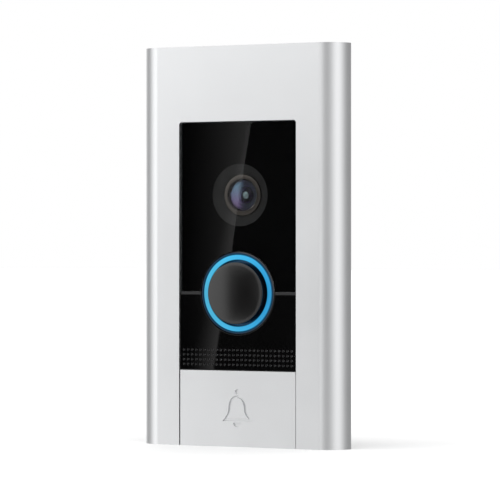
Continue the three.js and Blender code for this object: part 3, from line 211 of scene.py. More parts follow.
# ---- Floor ---------------------------------------------------------------------------------------
# The plate stands on its lower edge on a plain white table top, so a soft shadow falls under it.
floor_size = 12
bpy.ops.mesh.primitive_grid_add(
    x_subdivisions=4, y_subdivisions=4, size=floor_size, location=(0, 0, cad_low.z))
floor = bpy.context.active_object
floor.name = "floor"
apply_place(floor)
white_top, tree = new_material("white_top")
surface(tree, {"Base Color": (0.92, 0.92, 0.92), "Roughness": 0.9, "Specular IOR Level": 0.1})
floor.data.materials.append(white_top)
floor.visible_glossy = False


# ---- Reflection card -----------------------------------------------------------------------------
# A black flag stands where the window mirrors the camera, so the glass looks black. A grey card in
# front of it, brighter towards its slanted edge, gives the sheen across the left of the window.
card_distance = 1500 * mm
glass_low, glass_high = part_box("upper_glass")
glass_y = glass_low.y
mirrored_camera = Vector((camera.location.x, 2 * glass_y - camera.location.y, camera.location.z))
card_normal = Vector((-view_back.x, view_back.y, 0))


def seen_on_card(x, z, further=0):
    """Where a point of the window's surface sees the card's plane."""
    point = Vector((x, glass_y, z))
    ray = point - mirrored_camera
    centre = Vector((0, glass_y, 0)) + card_normal * (card_distance + further)
    return point + ray * ((centre - point).dot(card_normal) / ray.dot(card_normal))


def stage_quad(name, corners, material):
    """A flat four-cornered card with its own UV map, u from left to right."""
    bpy.ops.object.select_all(action="DESELECT")
    bpy.ops.mesh.primitive_plane_add(size=1)
    card = bpy.context.active_object
    card.name = name
    for vertex, corner in zip(card.data.vertices, corners):
        vertex.co = corner
    card.data.materials.append(material)


sheen_top_x, sheen_bottom_x = 4.9 * mm, -8.3 * mm
card_reach = 60 * mm
lean = (sheen_top_x - sheen_bottom_x) / (glass_high.z * 2)
middle_x = (sheen_top_x + sheen_bottom_x) / 2
card_left = glass_low.x - 3 * mm
grey_card, tree = new_material("grey_card")
sheen_strength, sheen_falloff = 0.67, 2.33
card_uv = add_node(tree, "ShaderNodeTexCoord", output="UV")
across = add_node(tree, "ShaderNodeSeparateXYZ", inputs={0: card_uv}, output="X")
sheen = across ** sheen_falloff * sheen_strength
show(tree, add_node(tree, "ShaderNodeEmission", inputs={"Color": (1, 0.99, 0.99), "Strength": sheen}))
stage_quad("grey_card", [
    seen_on_card(card_left, -card_reach),
    seen_on_card(middle_x - lean * card_reach, -card_reach),
    seen_on_card(card_left, card_reach),
    seen_on_card(middle_x + lean * card_reach, card_reach)], grey_card)
black_flag, tree = new_material("black_flag")
show(tree, add_node(tree, "ShaderNodeEmission", inputs={"Color": white, "Strength": 0.02}))
flag_low, flag_top = -85 * mm, 58 * mm
flag_left, flag_right = -27 * mm, 95 * mm
behind = 20 * mm
stage_quad("black_flag", [
    seen_on_card(flag_left, flag_low, behind), seen_on_card(flag_right, flag_low, behind),
    seen_on_card(flag_left, flag_top, behind), seen_on_card(flag_right, flag_top, behind)], black_flag)


# ---- Faceplate -----------------------------------------------------------------------------------
# One die-cast plate in satin silver paint, open at the rear, with rounded long sides. A fine radius
# is polished round its window and along its cut ends, and it drops over the bracket.
plate_wall = 1.6 * mm
side_radius = 7.3 * mm
edge_radius = 0.32 * mm
window_corner = 0.9 * mm
cover_low, cover_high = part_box("lower_cover")
panel_gap = 0.15 * mm
window_half = glass_high.x + panel_gap
window_top = glass_high.z + panel_gap


def cube(name, low, high):
    """A box between two corners, with its place in its mesh."""
    low, high = Vector(low), Vector(high)
    bpy.ops.object.select_all(action="DESELECT")
    bpy.ops.mesh.primitive_cube_add(size=1, location=(low + high) / 2, scale=high - low)
    piece = bpy.context.active_object
    piece.name = name
    apply_place(piece)
    return piece


def choose(piece, kind, test):
    """Opens a piece in edit mode with only the faces, edges or vertices that pass a test selected."""
    bpy.context.view_layer.objects.active = piece
    bpy.ops.object.mode_set(mode="EDIT")
    bpy.ops.mesh.select_mode(type=kind)
    bpy.ops.mesh.select_all(action="DESELECT")
    shape = bmesh.from_edit_mesh(piece.data)
    items = {"FACE": shape.faces, "EDGE": shape.edges, "VERT": shape.verts}[kind]
    for item in items:
        if test(item):
            item.select_set(True)
    bmesh.update_edit_mesh(piece.data)


def done():
    bpy.ops.object.mode_set(mode="OBJECT")


def round_chosen(piece, radius, segments, test):
    """Rounds only the edges that pass a test."""
    choose(piece, "EDGE", test)
    bpy.ops.mesh.bevel(offset=radius, offset_type="OFFSET", segments=segments, affect="EDGES")
    done()


def modify(piece, kind, **settings):
    """Adds a modifier and applies it."""
    select_only(piece)
    modifier = piece.modifiers.new(kind.lower(), kind)
    for name, value in settings.items():
        setattr(modifier, name, value)
    bpy.ops.object.modifier_apply(modifier=modifier.name)


def carve(piece, *cutters):
    """Cuts each cutter out of a piece and throws the cutter away."""
    for cutter in cutters:
        modify(piece, "BOOLEAN", object=cutter, operation="DIFFERENCE", solver="EXACT")
        bpy.data.objects.remove(cutter)


def round_edges(piece, width, segments=3, angle=40):
    """Rounds every edge where the faces turn by more than an angle."""
    modify(piece, "BEVEL", width=width, segments=segments, limit_method="ANGLE",
           angle_limit=math.radians(angle), use_clamp_overlap=True)


def smooth(piece, angle=35):
    select_only(piece)
    bpy.ops.object.shade_smooth_by_angle(angle=math.radians(angle))
    modify(piece, "WEIGHTED_NORMAL", keep_sharp=True, weight=100)


def runs_along(edge, axis):
    """True for an edge parallel to an axis, 0 for X, 1 for Y and 2 for Z."""
    along = edge.verts[0].co - edge.verts[1].co
    return abs(along[axis]) > 0.999 * along.length


def top_corner(edge):
    """True for an edge that runs from front to back in the upper half of a piece."""
    return runs_along(edge, 1) and edge.verts[0].co.z > 0


def on_face(edge):
    """True for an edge in the plane of the plate's face."""
    return all(abs(vertex.co.y - face_y) < 0.01 * mm for vertex in edge.verts)


def fit(piece, body, slot, material, *stands_for):
    """Gives a finished piece its finish, the body it moves with and the CAD nodes it stands for."""
    if material.name not in piece.data.materials:
        piece.data.materials.clear()
        piece.data.materials.append(material)
    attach(piece, body)
    if stands_for:
        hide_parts(*stands_for)


plate = cube("faceplate_shell", plate_low, plate_high)
round_chosen(plate, side_radius, 20, lambda edge: runs_along(edge, 2) and on_face(edge))
choose(plate, "FACE", lambda face: face.normal.y > 0.99)
bpy.ops.mesh.delete(type="ONLY_FACE")
done()
modify(plate, "SOLIDIFY", thickness=plate_wall, offset=-1, use_even_offset=True, use_rim=True)
opening = cube("opening", (-window_half, plate_low.y - 1 * mm, plate_low.z - 1 * mm),
               (window_half, plate_high.y + 1 * mm, window_top))
round_chosen(opening, window_corner, 6, top_corner)
carve(plate, opening)
round_edges(plate, edge_radius)
smooth(plate)


def noise(tree, scale, detail, roughness=0.5):
    """Cloudy values over a piece, from 0 to 1."""
    place = add_node(tree, "ShaderNodeTexCoord", output="Object")
    return add_node(tree, "ShaderNodeTexNoise", output="Fac", inputs={
        "Vector": place, "Scale": scale, "Detail": detail, "Roughness": roughness})


def blend(tree, factor, first, second):
    """A colour between two others."""
    colours = {"Factor": factor, 6: first, 7: second}
    return add_node(tree, "ShaderNodeMix", {"data_type": "RGBA"}, colours, output=2)


def bumps(tree, height, strength, distance):
    """A surface normal that follows small heights."""
    return add_node(tree, "ShaderNodeBump", inputs={
        "Height": height, "Strength": strength, "Distance": distance})


silver_paint, tree = new_material("silver_paint")
flake = noise(tree, 9000, 2, roughness=0.6)
cloud = noise(tree, 60, 3)
silver = blend(tree, cloud * 0.6 + flake * 0.4, (0.688, 0.696, 0.705), (0.728, 0.735, 0.744))
bump = bumps(tree, flake, 0.05, 0.02 * mm)
surface(tree, {
    "Base Color": silver, "Metallic": 0.94, "Roughness": cloud * 0.05 + 0.29, "Normal": bump,
    "Coat Weight": 0.15, "Coat Roughness": 0.25})
fit(plate, "unit", "satin_silver", silver_paint, "faceplate")


# ---- Lower cover ---------------------------------------------------------------------------------
# A separate cover in the same paint closes the plate below the window. Tongues on its sides slip
# behind the plate, a floor turns back under the housing, and a small bell is sunk into its face.
cover_half = window_half - 0.25 * mm
cover_front = cover_low.y
cover = cube("cover_shell", (-cover_half, cover_front, plate_low.z), (cover_half, 0, cover_high.z))
past = 1 * mm
carve(cover, cube("behind_cover",
                  (-cover_half - past, cover_front + plate_wall, plate_low.z + plate_wall),
                  (cover_half + past, past, cover_high.z + past)))


def weld(piece, *others):
    """Joins each other solid to a piece."""
    for other in others:
        modify(piece, "BOOLEAN", object=other, operation="UNION", solver="EXACT")
        bpy.data.objects.remove(other)


def post(name, radius, front, back, x=0, z=0, sides=48, back_radius=None):
    """A round bar along Y between two depths, tapered if its rear radius differs."""
    bpy.ops.object.select_all(action="DESELECT")
    bpy.ops.mesh.primitive_cone_add(
        vertices=sides, radius1=radius if back_radius is None else back_radius, radius2=radius,
        depth=back - front, location=(x, (front + back) / 2, z), rotation=(math.pi / 2, 0, 0))
    piece = bpy.context.active_object
    piece.name = name
    apply_place(piece)
    return piece


def chain(name, points):
    """A run of edges through points, left in edit mode: one vertex, extruded from point to point."""
    bpy.ops.object.select_all(action="DESELECT")
    bpy.ops.mesh.primitive_plane_add(size=1 * mm)
    piece = bpy.context.active_object
    piece.name = name
    bpy.ops.object.mode_set(mode="EDIT")
    bpy.ops.mesh.select_mode(type="VERT")
    bpy.ops.mesh.select_all(action="SELECT")
    bpy.ops.mesh.merge(type="CENTER")
    bpy.ops.transform.translate(value=points[0])
    for before, after in zip(points, points[1:]):
        bpy.ops.mesh.extrude_vertices_move(
            TRANSFORM_OT_translate={"value": Vector(after) - Vector(before)})
    return piece


def tidy_solid(piece):
    """Merges doubles and turns the faces outwards, from edit mode."""
    bpy.ops.mesh.select_all(action="SELECT")
    bpy.ops.mesh.remove_doubles(threshold=0.0005 * mm)
    bpy.ops.mesh.normals_make_consistent(inside=False)
    done()
    return piece


tongue_front = plate_low.y + plate_wall + 0.15 * mm
tongue_root, tongue_reach, tongue_length = 6 * mm, 4 * mm, 15.8 * mm
tongue_low = plate_low.z + plate_wall + 0.2 * mm
for side in (-1, 1):
    ends = sorted((side * (cover_half - tongue_root), side * (cover_half + tongue_reach)))
    weld(cover, cube("tongue", (ends[0], tongue_front - 0.1 * mm, tongue_low),
                     (ends[1], tongue_front + 1.1 * mm, tongue_low + tongue_length)))
round_edges(cover, edge_radius)

bell_z = -49.2 * mm
bell_depth = 0.5 * mm
bell_draft = 0.05
bell_half_height = 4 * mm
dome_half_width, flare = 3.1 * mm, 2.1 * mm
island_width, island_height = 0.72, 0.77


def bell_half(t):
    """Half the bell's width from its crown, t = 0, to its lip, t = 1: a dome that flares out."""
    dome = dome_half_width * math.sqrt(1 - (1 - min(2 * t, 1)) ** 2)
    return dome + flare * max(0, 2 * t - 1) ** 2.2


def stamp(name, outline, lift, sink, spread):
    """A cutter along an outline of (x, z) points, from in front of the cover to a depth in it."""
    points = [(x, cover_front - lift, bell_z + z) for x, z in outline]
    piece = chain(name, points)
    bpy.ops.mesh.select_all(action="SELECT")
    bpy.ops.mesh.edge_face_add()
    bpy.ops.mesh.extrude_region_move(TRANSFORM_OT_translate={"value": (0, lift + sink, 0)})
    middle_z = bell_z + sum(z for x, z in outline) / len(outline)
    bpy.ops.transform.resize(value=(spread, 1, spread), center_override=(0, cover_front, middle_z))
    return tidy_solid(piece)


bell_steps = 14
right_side = [(bell_half(i / bell_steps), bell_half_height * (1 - 2 * i / bell_steps))
              for i in range(bell_steps + 1)]
bell_body = right_side + [(-x, z) for x, z in reversed(right_side[1:])]
clapper = [(1.5 * mm * math.cos(angle), -4.4 * mm + 1.4 * mm * math.sin(angle))
           for angle in [math.pi * (1 + i / 10) for i in range(11)]]
crown = [(0.85 * mm * math.cos(angle), 4.95 * mm + 0.85 * mm * math.sin(angle))
         for angle in [math.tau * i / 16 for i in range(16)]]
bell_groove = stamp("bell_groove", bell_body, 0.2 * mm, bell_depth, 1 - bell_draft)
bell_island = [(x * island_width, z * island_height) for x, z in bell_body]
carve(bell_groove, stamp("bell_island", bell_island, 0.4 * mm, 2 * bell_depth, 1 + 2 * bell_draft))
carve(cover, bell_groove)
for name, outline in (("clapper", clapper), ("crown", crown)):
    carve(cover, stamp(name, outline, 0.2 * mm, bell_depth, 0.8))
screw_low, screw_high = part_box("security_screw")
hole_y = (screw_low.y + screw_high.y) / 2
for radius, depth in ((2.25 * mm, 0.75 * plate_wall), (1.35 * mm, 3 * mm)):
    hole = post("screw_hole", radius, -depth, depth)
    hole.rotation_euler = (math.pi / 2, 0, 0)
    hole.location = (0, hole_y, plate_low.z)
    apply_place(hole)
    carve(cover, hole)
smooth(cover)
fit(cover, "unit", "satin_silver", silver_paint, "lower_cover")


# ---- Screws --------------------------------------------------------------------------------------
# Zinc-plated machine screws with six-sided sockets hold everything together. Each head is turned with
# a small chamfer, and the shank ends in a lead.
def turned(name, profile, x=0, z=0, sides=72):
    """A solid turned about the Y axis through (x, z), from a profile of (radius, y) points."""
    piece = chain(name, [(x + radius, y, z) for radius, y in profile])
    bpy.ops.mesh.select_all(action="SELECT")
    bpy.ops.mesh.spin(steps=sides, angle=math.tau, center=(x, 0, z), axis=(0, 1, 0))
    return tidy_solid(piece)


zinc, tree = new_material("zinc_plate")
cloud = noise(tree, 220, 4)
grain = noise(tree, 2600, 2)
tone = blend(tree, cloud, (0.50, 0.51, 0.53), (0.66, 0.67, 0.68))
relief = bumps(tree, grain, 0.15, 0.03 * mm)
surface(tree, {
    "Base Color": tone, "Metallic": 0.95, "Roughness": cloud * 0.16 + 0.24, "Normal": relief})


def machine_screw(node, head_end, head_height, shank_radius):
    """A screw in place of a CAD one, with its head at the front, at the rear or below."""
    low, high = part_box(node)
    length = high.z - low.z if head_end == "below" else high.y - low.y
    head = (high.x - low.x) / 2
    bevel = 0.22 * mm
    lead = shank_radius * 0.4
    screw = turned(node + "_turned", [
        (0, 0), (head - bevel, 0), (head, bevel), (head, head_height), (shank_radius, head_height),
        (shank_radius, length - lead), (shank_radius - lead, length), (0, length)], sides=32)
    carve(screw, post("socket", head * 0.5, -0.1 * mm, head_height * 0.62, sides=6))
    middle = (low + high) / 2
    if head_end == "below":
        screw.rotation_euler = (math.pi / 2, 0, 0)
        screw.location = (middle.x, middle.y, low.z)
    elif head_end == "rear":
        screw.rotation_euler = (0, 0, math.pi)
        screw.location = (middle.x, high.y, middle.z)
    else:
        screw.location = (middle.x, low.y, middle.z)
    apply_place(screw)
    smooth(screw, 30)
    fit(screw, "unit", "steel", zinc, node)


machine_screw("security_screw", "below", 0.96 * mm, 1.2 * mm)
for height in ("top", "bottom"):
    machine_screw("box_screw_" + height, "front", 1.8 * mm, 1.75 * mm)
    machine_screw("unit_screw_" + height, "front", 1.4 * mm, 1.5 * mm)
for number in range(1, 5):
    machine_screw(f"housing_screw_{number}", "rear", 1.28 * mm, 1.1 * mm)
for number in (1, 2):
    machine_screw(f"terminal_screw_{number}", "rear", 1.6 * mm, 1.2 * mm)


# ---- Upper window --------------------------------------------------------------------------------
# Polished glass with a fine ground edge, printed black on its back except over the camera. An
# adhesive sheet bonds it to the housing.
print_thickness = 0.04 * mm
cup_low, cup_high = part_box("button_cup")
button_z = (cup_low.z + cup_high.z) / 2
cup_radius = cup_high.x - 1.1 * mm
cup_hole = cup_radius + 0.15 * mm
funnel_low, funnel_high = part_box("camera_funnel")
camera_z = (funnel_low.z + funnel_high.z) / 2
funnel_radius = funnel_high.x - 0.7 * mm
glass_back = glass_high.y - 2 * print_thickness
glass = cube("window_glass", glass_low, (glass_high.x, glass_back, glass_high.z))
round_chosen(glass, window_corner - panel_gap, 6, top_corner)
carve(glass, post("cup_hole", cup_hole, glass_y - 1 * mm, glass_back + 1 * mm, z=button_z, sides=96))
round_edges(glass, 0.13 * mm, segments=3)
smooth(glass)


def edge_glow(tree, ior):
    """The share of light that the outside of clear glass mirrors, more towards its edges."""
    outside = 1 - add_node(tree, "ShaderNodeNewGeometry", output="Backfacing")
    return add_node(tree, "ShaderNodeFresnel", inputs={"IOR": ior}) * outside


def clear_glass(tree, mirrored, see_through, tint, roughness):
    """Glass that mirrors a share of the light with a tint and lets the rest straight through."""
    clear = add_node(tree, "ShaderNodeBsdfTransparent", inputs={"Color": see_through})
    gloss = add_node(tree, "ShaderNodeBsdfPrincipled",
                     inputs={"Base Color": tint, "Metallic": 1.0, "Roughness": roughness})
    show(tree, add_node(tree, "ShaderNodeMixShader", inputs={0: mirrored, 1: clear, 2: gloss}))


polished, tree = new_material("window_polish")
wipe = noise(tree, 45, 3)
clear_glass(tree, edge_glow(tree, 1.5), (0.97, 0.98, 0.98), white, wipe * 0.012 + 0.002)
rear_face, tree = new_material("window_rear_face")
show(tree, add_node(tree, "ShaderNodeBsdfTransparent", inputs={"Color": white}))
glass.data.materials.append(polished)
glass.data.materials.append(rear_face)
for face in glass.data.polygons:
    face.material_index = 1 if face.normal.y > 0.5 and face.center.y > glass_back - 0.01 * mm else 0
fit(glass, "unit", "black_glass", polished, "upper_glass")

ink_sheet = cube("window_print", (glass_low.x, glass_back + print_thickness / 2, glass_low.z),
                 (glass_high.x, glass_high.y - print_thickness / 2, glass_high.z - 0.1 * mm))
round_chosen(ink_sheet, window_corner - panel_gap, 6, top_corner)
camera_hole = funnel_radius - 0.1 * mm
carve(ink_sheet, post("cup_hole", cup_hole, glass_y - 1 * mm, 0, z=button_z, sides=96),
      post("camera_hole", camera_hole, glass_y - 1 * mm, 0, z=camera_z, sides=96))
ink, tree = new_material("black_ink")
speck = noise(tree, 1800, 2)
tone = blend(tree, speck, (0.0008, 0.0008, 0.0009), (0.0018, 0.0018, 0.0019))
surface(tree, {"Base Color": tone, "Roughness": speck * 0.1 + 0.5, "Specular IOR Level": 0.0})
fit(ink_sheet, "unit", "black_glass", ink)


# ---- Lower window --------------------------------------------------------------------------------
# Gloss black moulding below the seam, drilled with four rows of fine holes for the speaker and the
# microphone. The holes are countersunk, and grey acoustic cloth is bonded in a pocket behind them.
panel_low, panel_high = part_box("lower_grille")
mesh_low, mesh_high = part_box("grille_mesh")
columns, rows = 27, 4
pitch_x, pitch_z = 1.43 * mm, 1.47 * mm
hole_radius = 0.31 * mm
countersink = 0.14 * mm
grille_z = (mesh_low.z + mesh_high.z) / 2
skin = 0.55 * mm
cloth_gap, cloth_thickness = 0.1 * mm, 0.25 * mm


def repeat(piece, count, step):
    """Repeats a piece in equal steps."""
    modify(piece, "ARRAY", count=count, use_relative_offset=False, use_constant_offset=True,
           constant_offset_displace=step)


panel = cube("grille_panel", panel_low, panel_high)
carve(panel, post("cup_hole", cup_hole, glass_y - 1 * mm, 0, z=button_z, sides=96),
      cube("cloth_pocket", (mesh_low.x, panel_low.y + skin, mesh_low.z), (mesh_high.x, 0, mesh_high.z)))
round_edges(panel, 0.13 * mm, segments=3)
drill = post("drill", hole_radius + countersink, panel_low.y - 0.02 * mm, panel_low.y + countersink,
             -(columns - 1) / 2 * pitch_x, grille_z - (rows - 1) / 2 * pitch_z, sides=12,
             back_radius=hole_radius)
choose(drill, "FACE", lambda face: face.normal.y > 0.99)
bpy.ops.mesh.extrude_region_move(TRANSFORM_OT_translate={"value": (0, skin + 0.2 * mm, 0)})
done()
repeat(drill, columns, (pitch_x, 0, 0))
repeat(drill, rows, (0, 0, pitch_z))
carve(panel, drill)
smooth(panel)
gloss_black, tree = new_material("gloss_black_moulding")
wave = noise(tree, 70, 2)
tone = blend(tree, wave, (0.0010, 0.0010, 0.0011), (0.0022, 0.0022, 0.0023))
relief = bumps(tree, wave, 0.02, 0.05 * mm)
surface(tree, {"Base Color": tone, "Roughness": wave * 0.01 + 0.008, "Normal": relief, "IOR": 1.5})
fit(panel, "unit", "gloss_black", gloss_black, "lower_grille")

cloth_front = panel_low.y + skin + 0.02 * mm
cloth = cube("acoustic_cloth", (mesh_low.x + cloth_gap, cloth_front, mesh_low.z + cloth_gap),
             (mesh_high.x - cloth_gap, cloth_front + cloth_thickness, mesh_high.z - cloth_gap))
round_edges(cloth, 0.06 * mm, segments=2)
woven, tree = new_material("acoustic_cloth")
place = add_node(tree, "ShaderNodeTexCoord", output="Object")
threads = {"Vector": place, "Scale": 1500, "Distortion": 0.4}
warp = add_node(tree, "ShaderNodeTexWave", {"bands_direction": "X"}, threads, output="Fac")
weft = add_node(tree, "ShaderNodeTexWave", {"bands_direction": "Z"}, threads, output="Fac")
weave = warp * 0.5 + weft * 0.5
tone = blend(tree, weave, (0.09, 0.09, 0.095), (0.16, 0.16, 0.165))
relief = bumps(tree, weave, 0.5, 0.05 * mm)
surface(tree, {"Base Color": tone, "Roughness": 0.9, "Normal": relief})
fit(cloth, "unit", "soft_black", woven, "grille_mesh")


# ---- Seam strips ---------------------------------------------------------------------------------
# A grey silicone bead lies on the housing's rib in the gap between the two window panels, one on each
# side of the button.
seam_front = panel_low.y + 0.12 * mm
seam_half = (glass_low.z - panel_high.z) / 2 - 0.02 * mm
grey_silicone, tree = new_material("grey_silicone")
mottle = noise(tree, 900, 3)
tone = blend(tree, mottle, (0.018, 0.018, 0.019), (0.030, 0.030, 0.031))
surface(tree, {"Base Color": tone, "Roughness": mottle * 0.2 + 0.4, "Specular IOR Level": 0.2})
for side, side_name in ((-1, "left"), (1, "right")):
    ends = sorted((side * (cup_hole + 0.02 * mm), side * (glass_high.x - 0.02 * mm)))
    bead = cube("seam_bead_" + side_name, (ends[0], seam_front, button_z - seam_half),
                (ends[1], seam_front + 0.9 * mm, button_z + seam_half))
    round_edges(bead, 0.2 * mm)
    smooth(bead)
    fit(bead, "unit", "soft_black", grey_silicone)


# ---- Button cup ----------------------------------------------------------------------------------
# A black moulded cup stands through the window. Its thin rim frames the light ring, and its floor has
# a hole over each lamp and a bore that guides the button.
ring_low, ring_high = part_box("light_ring")
cap_low, cap_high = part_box("button_cap")
ring_outer = ring_high.x
ring_inner = ring_outer - 1.6 * mm
cup_inner = ring_outer + 0.05 * mm
floor_front = ring_high.y
guide = 2.8 * mm
rim_bevel = 0.28 * mm
flange_front = cup_high.y - 0.6 * mm
cup = turned("cup_moulding", [
    (cup_inner, floor_front), (cup_inner, cup_low.y + 0.35 * mm),
    (cup_inner + rim_bevel, cup_low.y), (cup_radius - rim_bevel, cup_low.y),
    (cup_radius, cup_low.y + rim_bevel), (cup_radius, flange_front), (cup_high.x, flange_front),
    (cup_high.x, cup_high.y), (guide, cup_high.y), (guide, floor_front),
    (cup_inner, floor_front)], z=button_z, sides=96)
lamp_circle = (ring_inner + ring_outer) / 2
lamp_count = 8
lamp_hole = 0.8 * mm
for number in range(lamp_count):
    angle = (number + 0.5) * math.tau / lamp_count
    carve(cup, post("lamp_hole", lamp_hole, floor_front - 0.5 * mm, cup_high.y + 0.5 * mm,
                    lamp_circle * math.cos(angle), button_z + lamp_circle * math.sin(angle), sides=16))
smooth(cup, 30)


def about_axis(tree, z):
    """Where a point lies about an axis along Y: how far to the right, how far up, and its radius."""
    place = add_node(tree, "ShaderNodeTexCoord", output="Object")
    right = add_node(tree, "ShaderNodeSeparateXYZ", inputs={0: place}, output="X")
    up = add_node(tree, "ShaderNodeSeparateXYZ", inputs={0: place}, output="Z") - z
    return right, up, (right * right + up * up) ** 0.5


cup_black, tree = new_material("cup_black")
_, _, radius = about_axis(tree, button_z)
# Painted light: the rim next to the light ring glows teal, the ring's spill painted on as emission.
painted_glow_mask = ((cup_inner + 0.75 * mm - radius) / (0.5 * mm)).above(0).below(1)
fine = noise(tree, 3000, 2)
relief = bumps(tree, fine, 0.1, 0.02 * mm)
painted_spill_glow = blend(tree, painted_glow_mask, (0, 0, 0), (0.002, 0.030, 0.070))
surface(tree, {
    "Base Color": (0.004, 0.004, 0.005), "Roughness": fine * 0.08 + 0.14, "Normal": relief,
    "Emission Color": painted_spill_glow, "Emission Strength": 1.0})
fit(cup, "unit", "housing_black", cup_black, "button_cup")


# ---- Light ring ----------------------------------------------------------------------------------
# A frosted light guide, lit sky blue by the eight lamps under it. It is a little brighter over each
# lamp and towards its top and bottom, and it darkens where its turned edges are broken.
ring_bevel = 0.18 * mm
light_guide = turned("light_guide", [
    (ring_inner, ring_high.y), (ring_inner, ring_low.y + ring_bevel),
    (ring_inner + ring_bevel, ring_low.y), (ring_outer - ring_bevel, ring_low.y),
    (ring_outer, ring_low.y + ring_bevel), (ring_outer, ring_high.y),
    (ring_inner, ring_high.y)], z=button_z, sides=96)
smooth(light_guide, 30)
lit_blue, tree = new_material("lit_diffuser")
right, up, radius = about_axis(tree, button_z)
east = right / lamp_circle
north = up / lamp_circle
octant = east * north * (east * east - north * north)
over_lamps = octant * octant * 12
fade_width = 0.2 * mm
inner_fade = ((radius - ring_inner) / fade_width).above(0).below(1)
outer_fade = ((ring_outer - radius) / fade_width).above(0.2).below(1)
frost = noise(tree, 1400, 3)
level = 0.65 + over_lamps * 0.05 + frost * 0.05 + north * 0.05 + north * north * 0.18
level = level * inner_fade * outer_fade
blue = blend(tree, east * 0.5 + 0.5, (0.055, 0.54, 0.84), (0.0, 0.36, 0.76))
glow = blend(tree, level.below(1), (0, 0.003, 0.012), blue)
surface(tree, {
    "Base Color": (0.01, 0.05, 0.08), "Roughness": frost * 0.15 + 0.35, "Emission Color": glow,
    "Specular IOR Level": 0.35, "Emission Strength": 1.0})
fit(light_guide, "unit", "light_diffuser", lit_blue, "light_ring")


# ---- Call button ---------------------------------------------------------------------------------
# A shallow dome of satin black plastic with a rounded edge and a thin skirt, pressed onto the plunger
# that works the switch. It is the one piece that the visitor moves.
cap_radius = cap_high.x
cap_dome = 0.3 * mm
cap_edge = 0.35 * mm
cap_skin = 1.3 * mm
cap_rim = cap_low.y + cap_dome
dome_radius = cap_radius - cap_edge
dome_steps, edge_steps = 12, 6
dome_line = [(dome_radius * i / dome_steps, cap_low.y + cap_dome * (i / dome_steps) ** 2)
             for i in range(dome_steps + 1)]
edge_line = [(dome_radius + cap_edge * math.sin(angle), cap_rim + cap_edge * (1 - math.cos(angle)))
             for angle in [math.pi / 2 * (i + 1) / edge_steps for i in range(edge_steps)]]
ceiling = cap_rim + cap_skin
cap = turned("cap_moulding", dome_line + edge_line + [
    (cap_radius, cap_high.y), (cap_radius - cap_skin, cap_high.y), (cap_radius - cap_skin, ceiling),
    (0, ceiling)], z=button_z, sides=96)
smooth(cap, 30)
satin_black, tree = new_material("satin_black")
grain = noise(tree, 5200, 2)
haze = noise(tree, 130, 3)
tone = blend(tree, haze, (0.0025, 0.0024, 0.0024), (0.0042, 0.0040, 0.0040))
relief = bumps(tree, grain, 0.06, 0.01 * mm)
surface(tree, {"Base Color": tone, "Roughness": haze * 0.04 + 0.12, "Normal": relief, "IOR": 1.55})
fit(cap, "call_button", "button_black", satin_black, "button_cap")


# ---- Camera --------------------------------------------------------------------------------------
# A matt funnel narrows from the glass to a turned, dark anodised trim ring. Inside it sit the coated
# front element, a small strongly curved second element in its retainer, and the iris. The front
# element's coating tint carries a painted reflection: a brighter blue crescent on its left, and dark
# violet elsewhere.
throat = 6.43 * mm
throat_front = funnel_high.y - 0.55 * mm
trim_low, trim_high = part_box("lens_trim_ring")
element_low, element_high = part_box("lens_front_element")
barrel_low, barrel_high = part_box("lens_barrel")
trim_radius = trim_high.x
element_radius = element_high.x
funnel = turned("funnel_moulding", [
    (funnel_radius, funnel_low.y), (funnel_high.x, funnel_low.y), (funnel_high.x, funnel_high.y),
    (throat, funnel_high.y), (throat, throat_front), (throat + 0.3 * mm, throat_front - 0.3 * mm),
    (funnel_radius - 0.4 * mm, funnel_low.y + 0.35 * mm), (funnel_radius, funnel_low.y)],
    z=camera_z, sides=96)
smooth(funnel, 30)
matt_black, tree = new_material("matt_black_moulding")
spark = noise(tree, 2400, 3)
tone = blend(tree, spark, (0.010, 0.010, 0.010), (0.016, 0.016, 0.016))
relief = bumps(tree, spark, 0.25, 0.03 * mm)
surface(tree, {"Base Color": tone, "Roughness": spark * 0.1 + 0.55, "Normal": relief, "IOR": 1.18})
fit(funnel, "unit", "housing_black", matt_black, "camera_funnel")

trim_inner = element_radius + 0.12 * mm
trim = turned("trim_turning", [
    (trim_inner, trim_low.y + 0.7 * mm), (trim_inner + 0.35 * mm, trim_low.y + 0.06 * mm),
    (trim_inner + 0.5 * mm, trim_low.y), (trim_radius - 0.8 * mm, trim_low.y + 0.01 * mm),
    (trim_radius - 0.1 * mm, trim_low.y + 0.19 * mm), (trim_radius, trim_low.y + 0.4 * mm),
    (trim_radius, trim_high.y), (trim_inner, trim_high.y), (trim_inner, trim_low.y + 0.7 * mm)],
    z=camera_z, sides=96)
smooth(trim, 12)
anodised, tree = new_material("dark_anodised")
_, _, radius = about_axis(tree, camera_z)
line_phase = 90000
lathe_lines = add_node(tree, "ShaderNodeMath", {"operation": "SINE"}, {0: radius * line_phase})
relief = bumps(tree, lathe_lines, 0.03, 0.01 * mm)
tone = blend(tree, lathe_lines * 0.5 + 0.5, (0.044, 0.039, 0.035), (0.058, 0.051, 0.046))
surface(tree, {
    "Base Color": tone, "Metallic": 0.9, "Roughness": lathe_lines * 0.03 + 0.18, "Normal": relief})
fit(trim, "unit", "lens_trim", anodised, "lens_trim_ring")


def dome(name, radius, front, crown, back):
    """A lens element: a domed front, a ground edge and a flat back."""
    line = [(radius * i / 10, front + crown * (i / 10) ** 2) for i in range(11)]
    piece = turned(name, line + [(radius, back), (0, back)], z=camera_z, sides=72)
    smooth(piece, 30)
    return piece


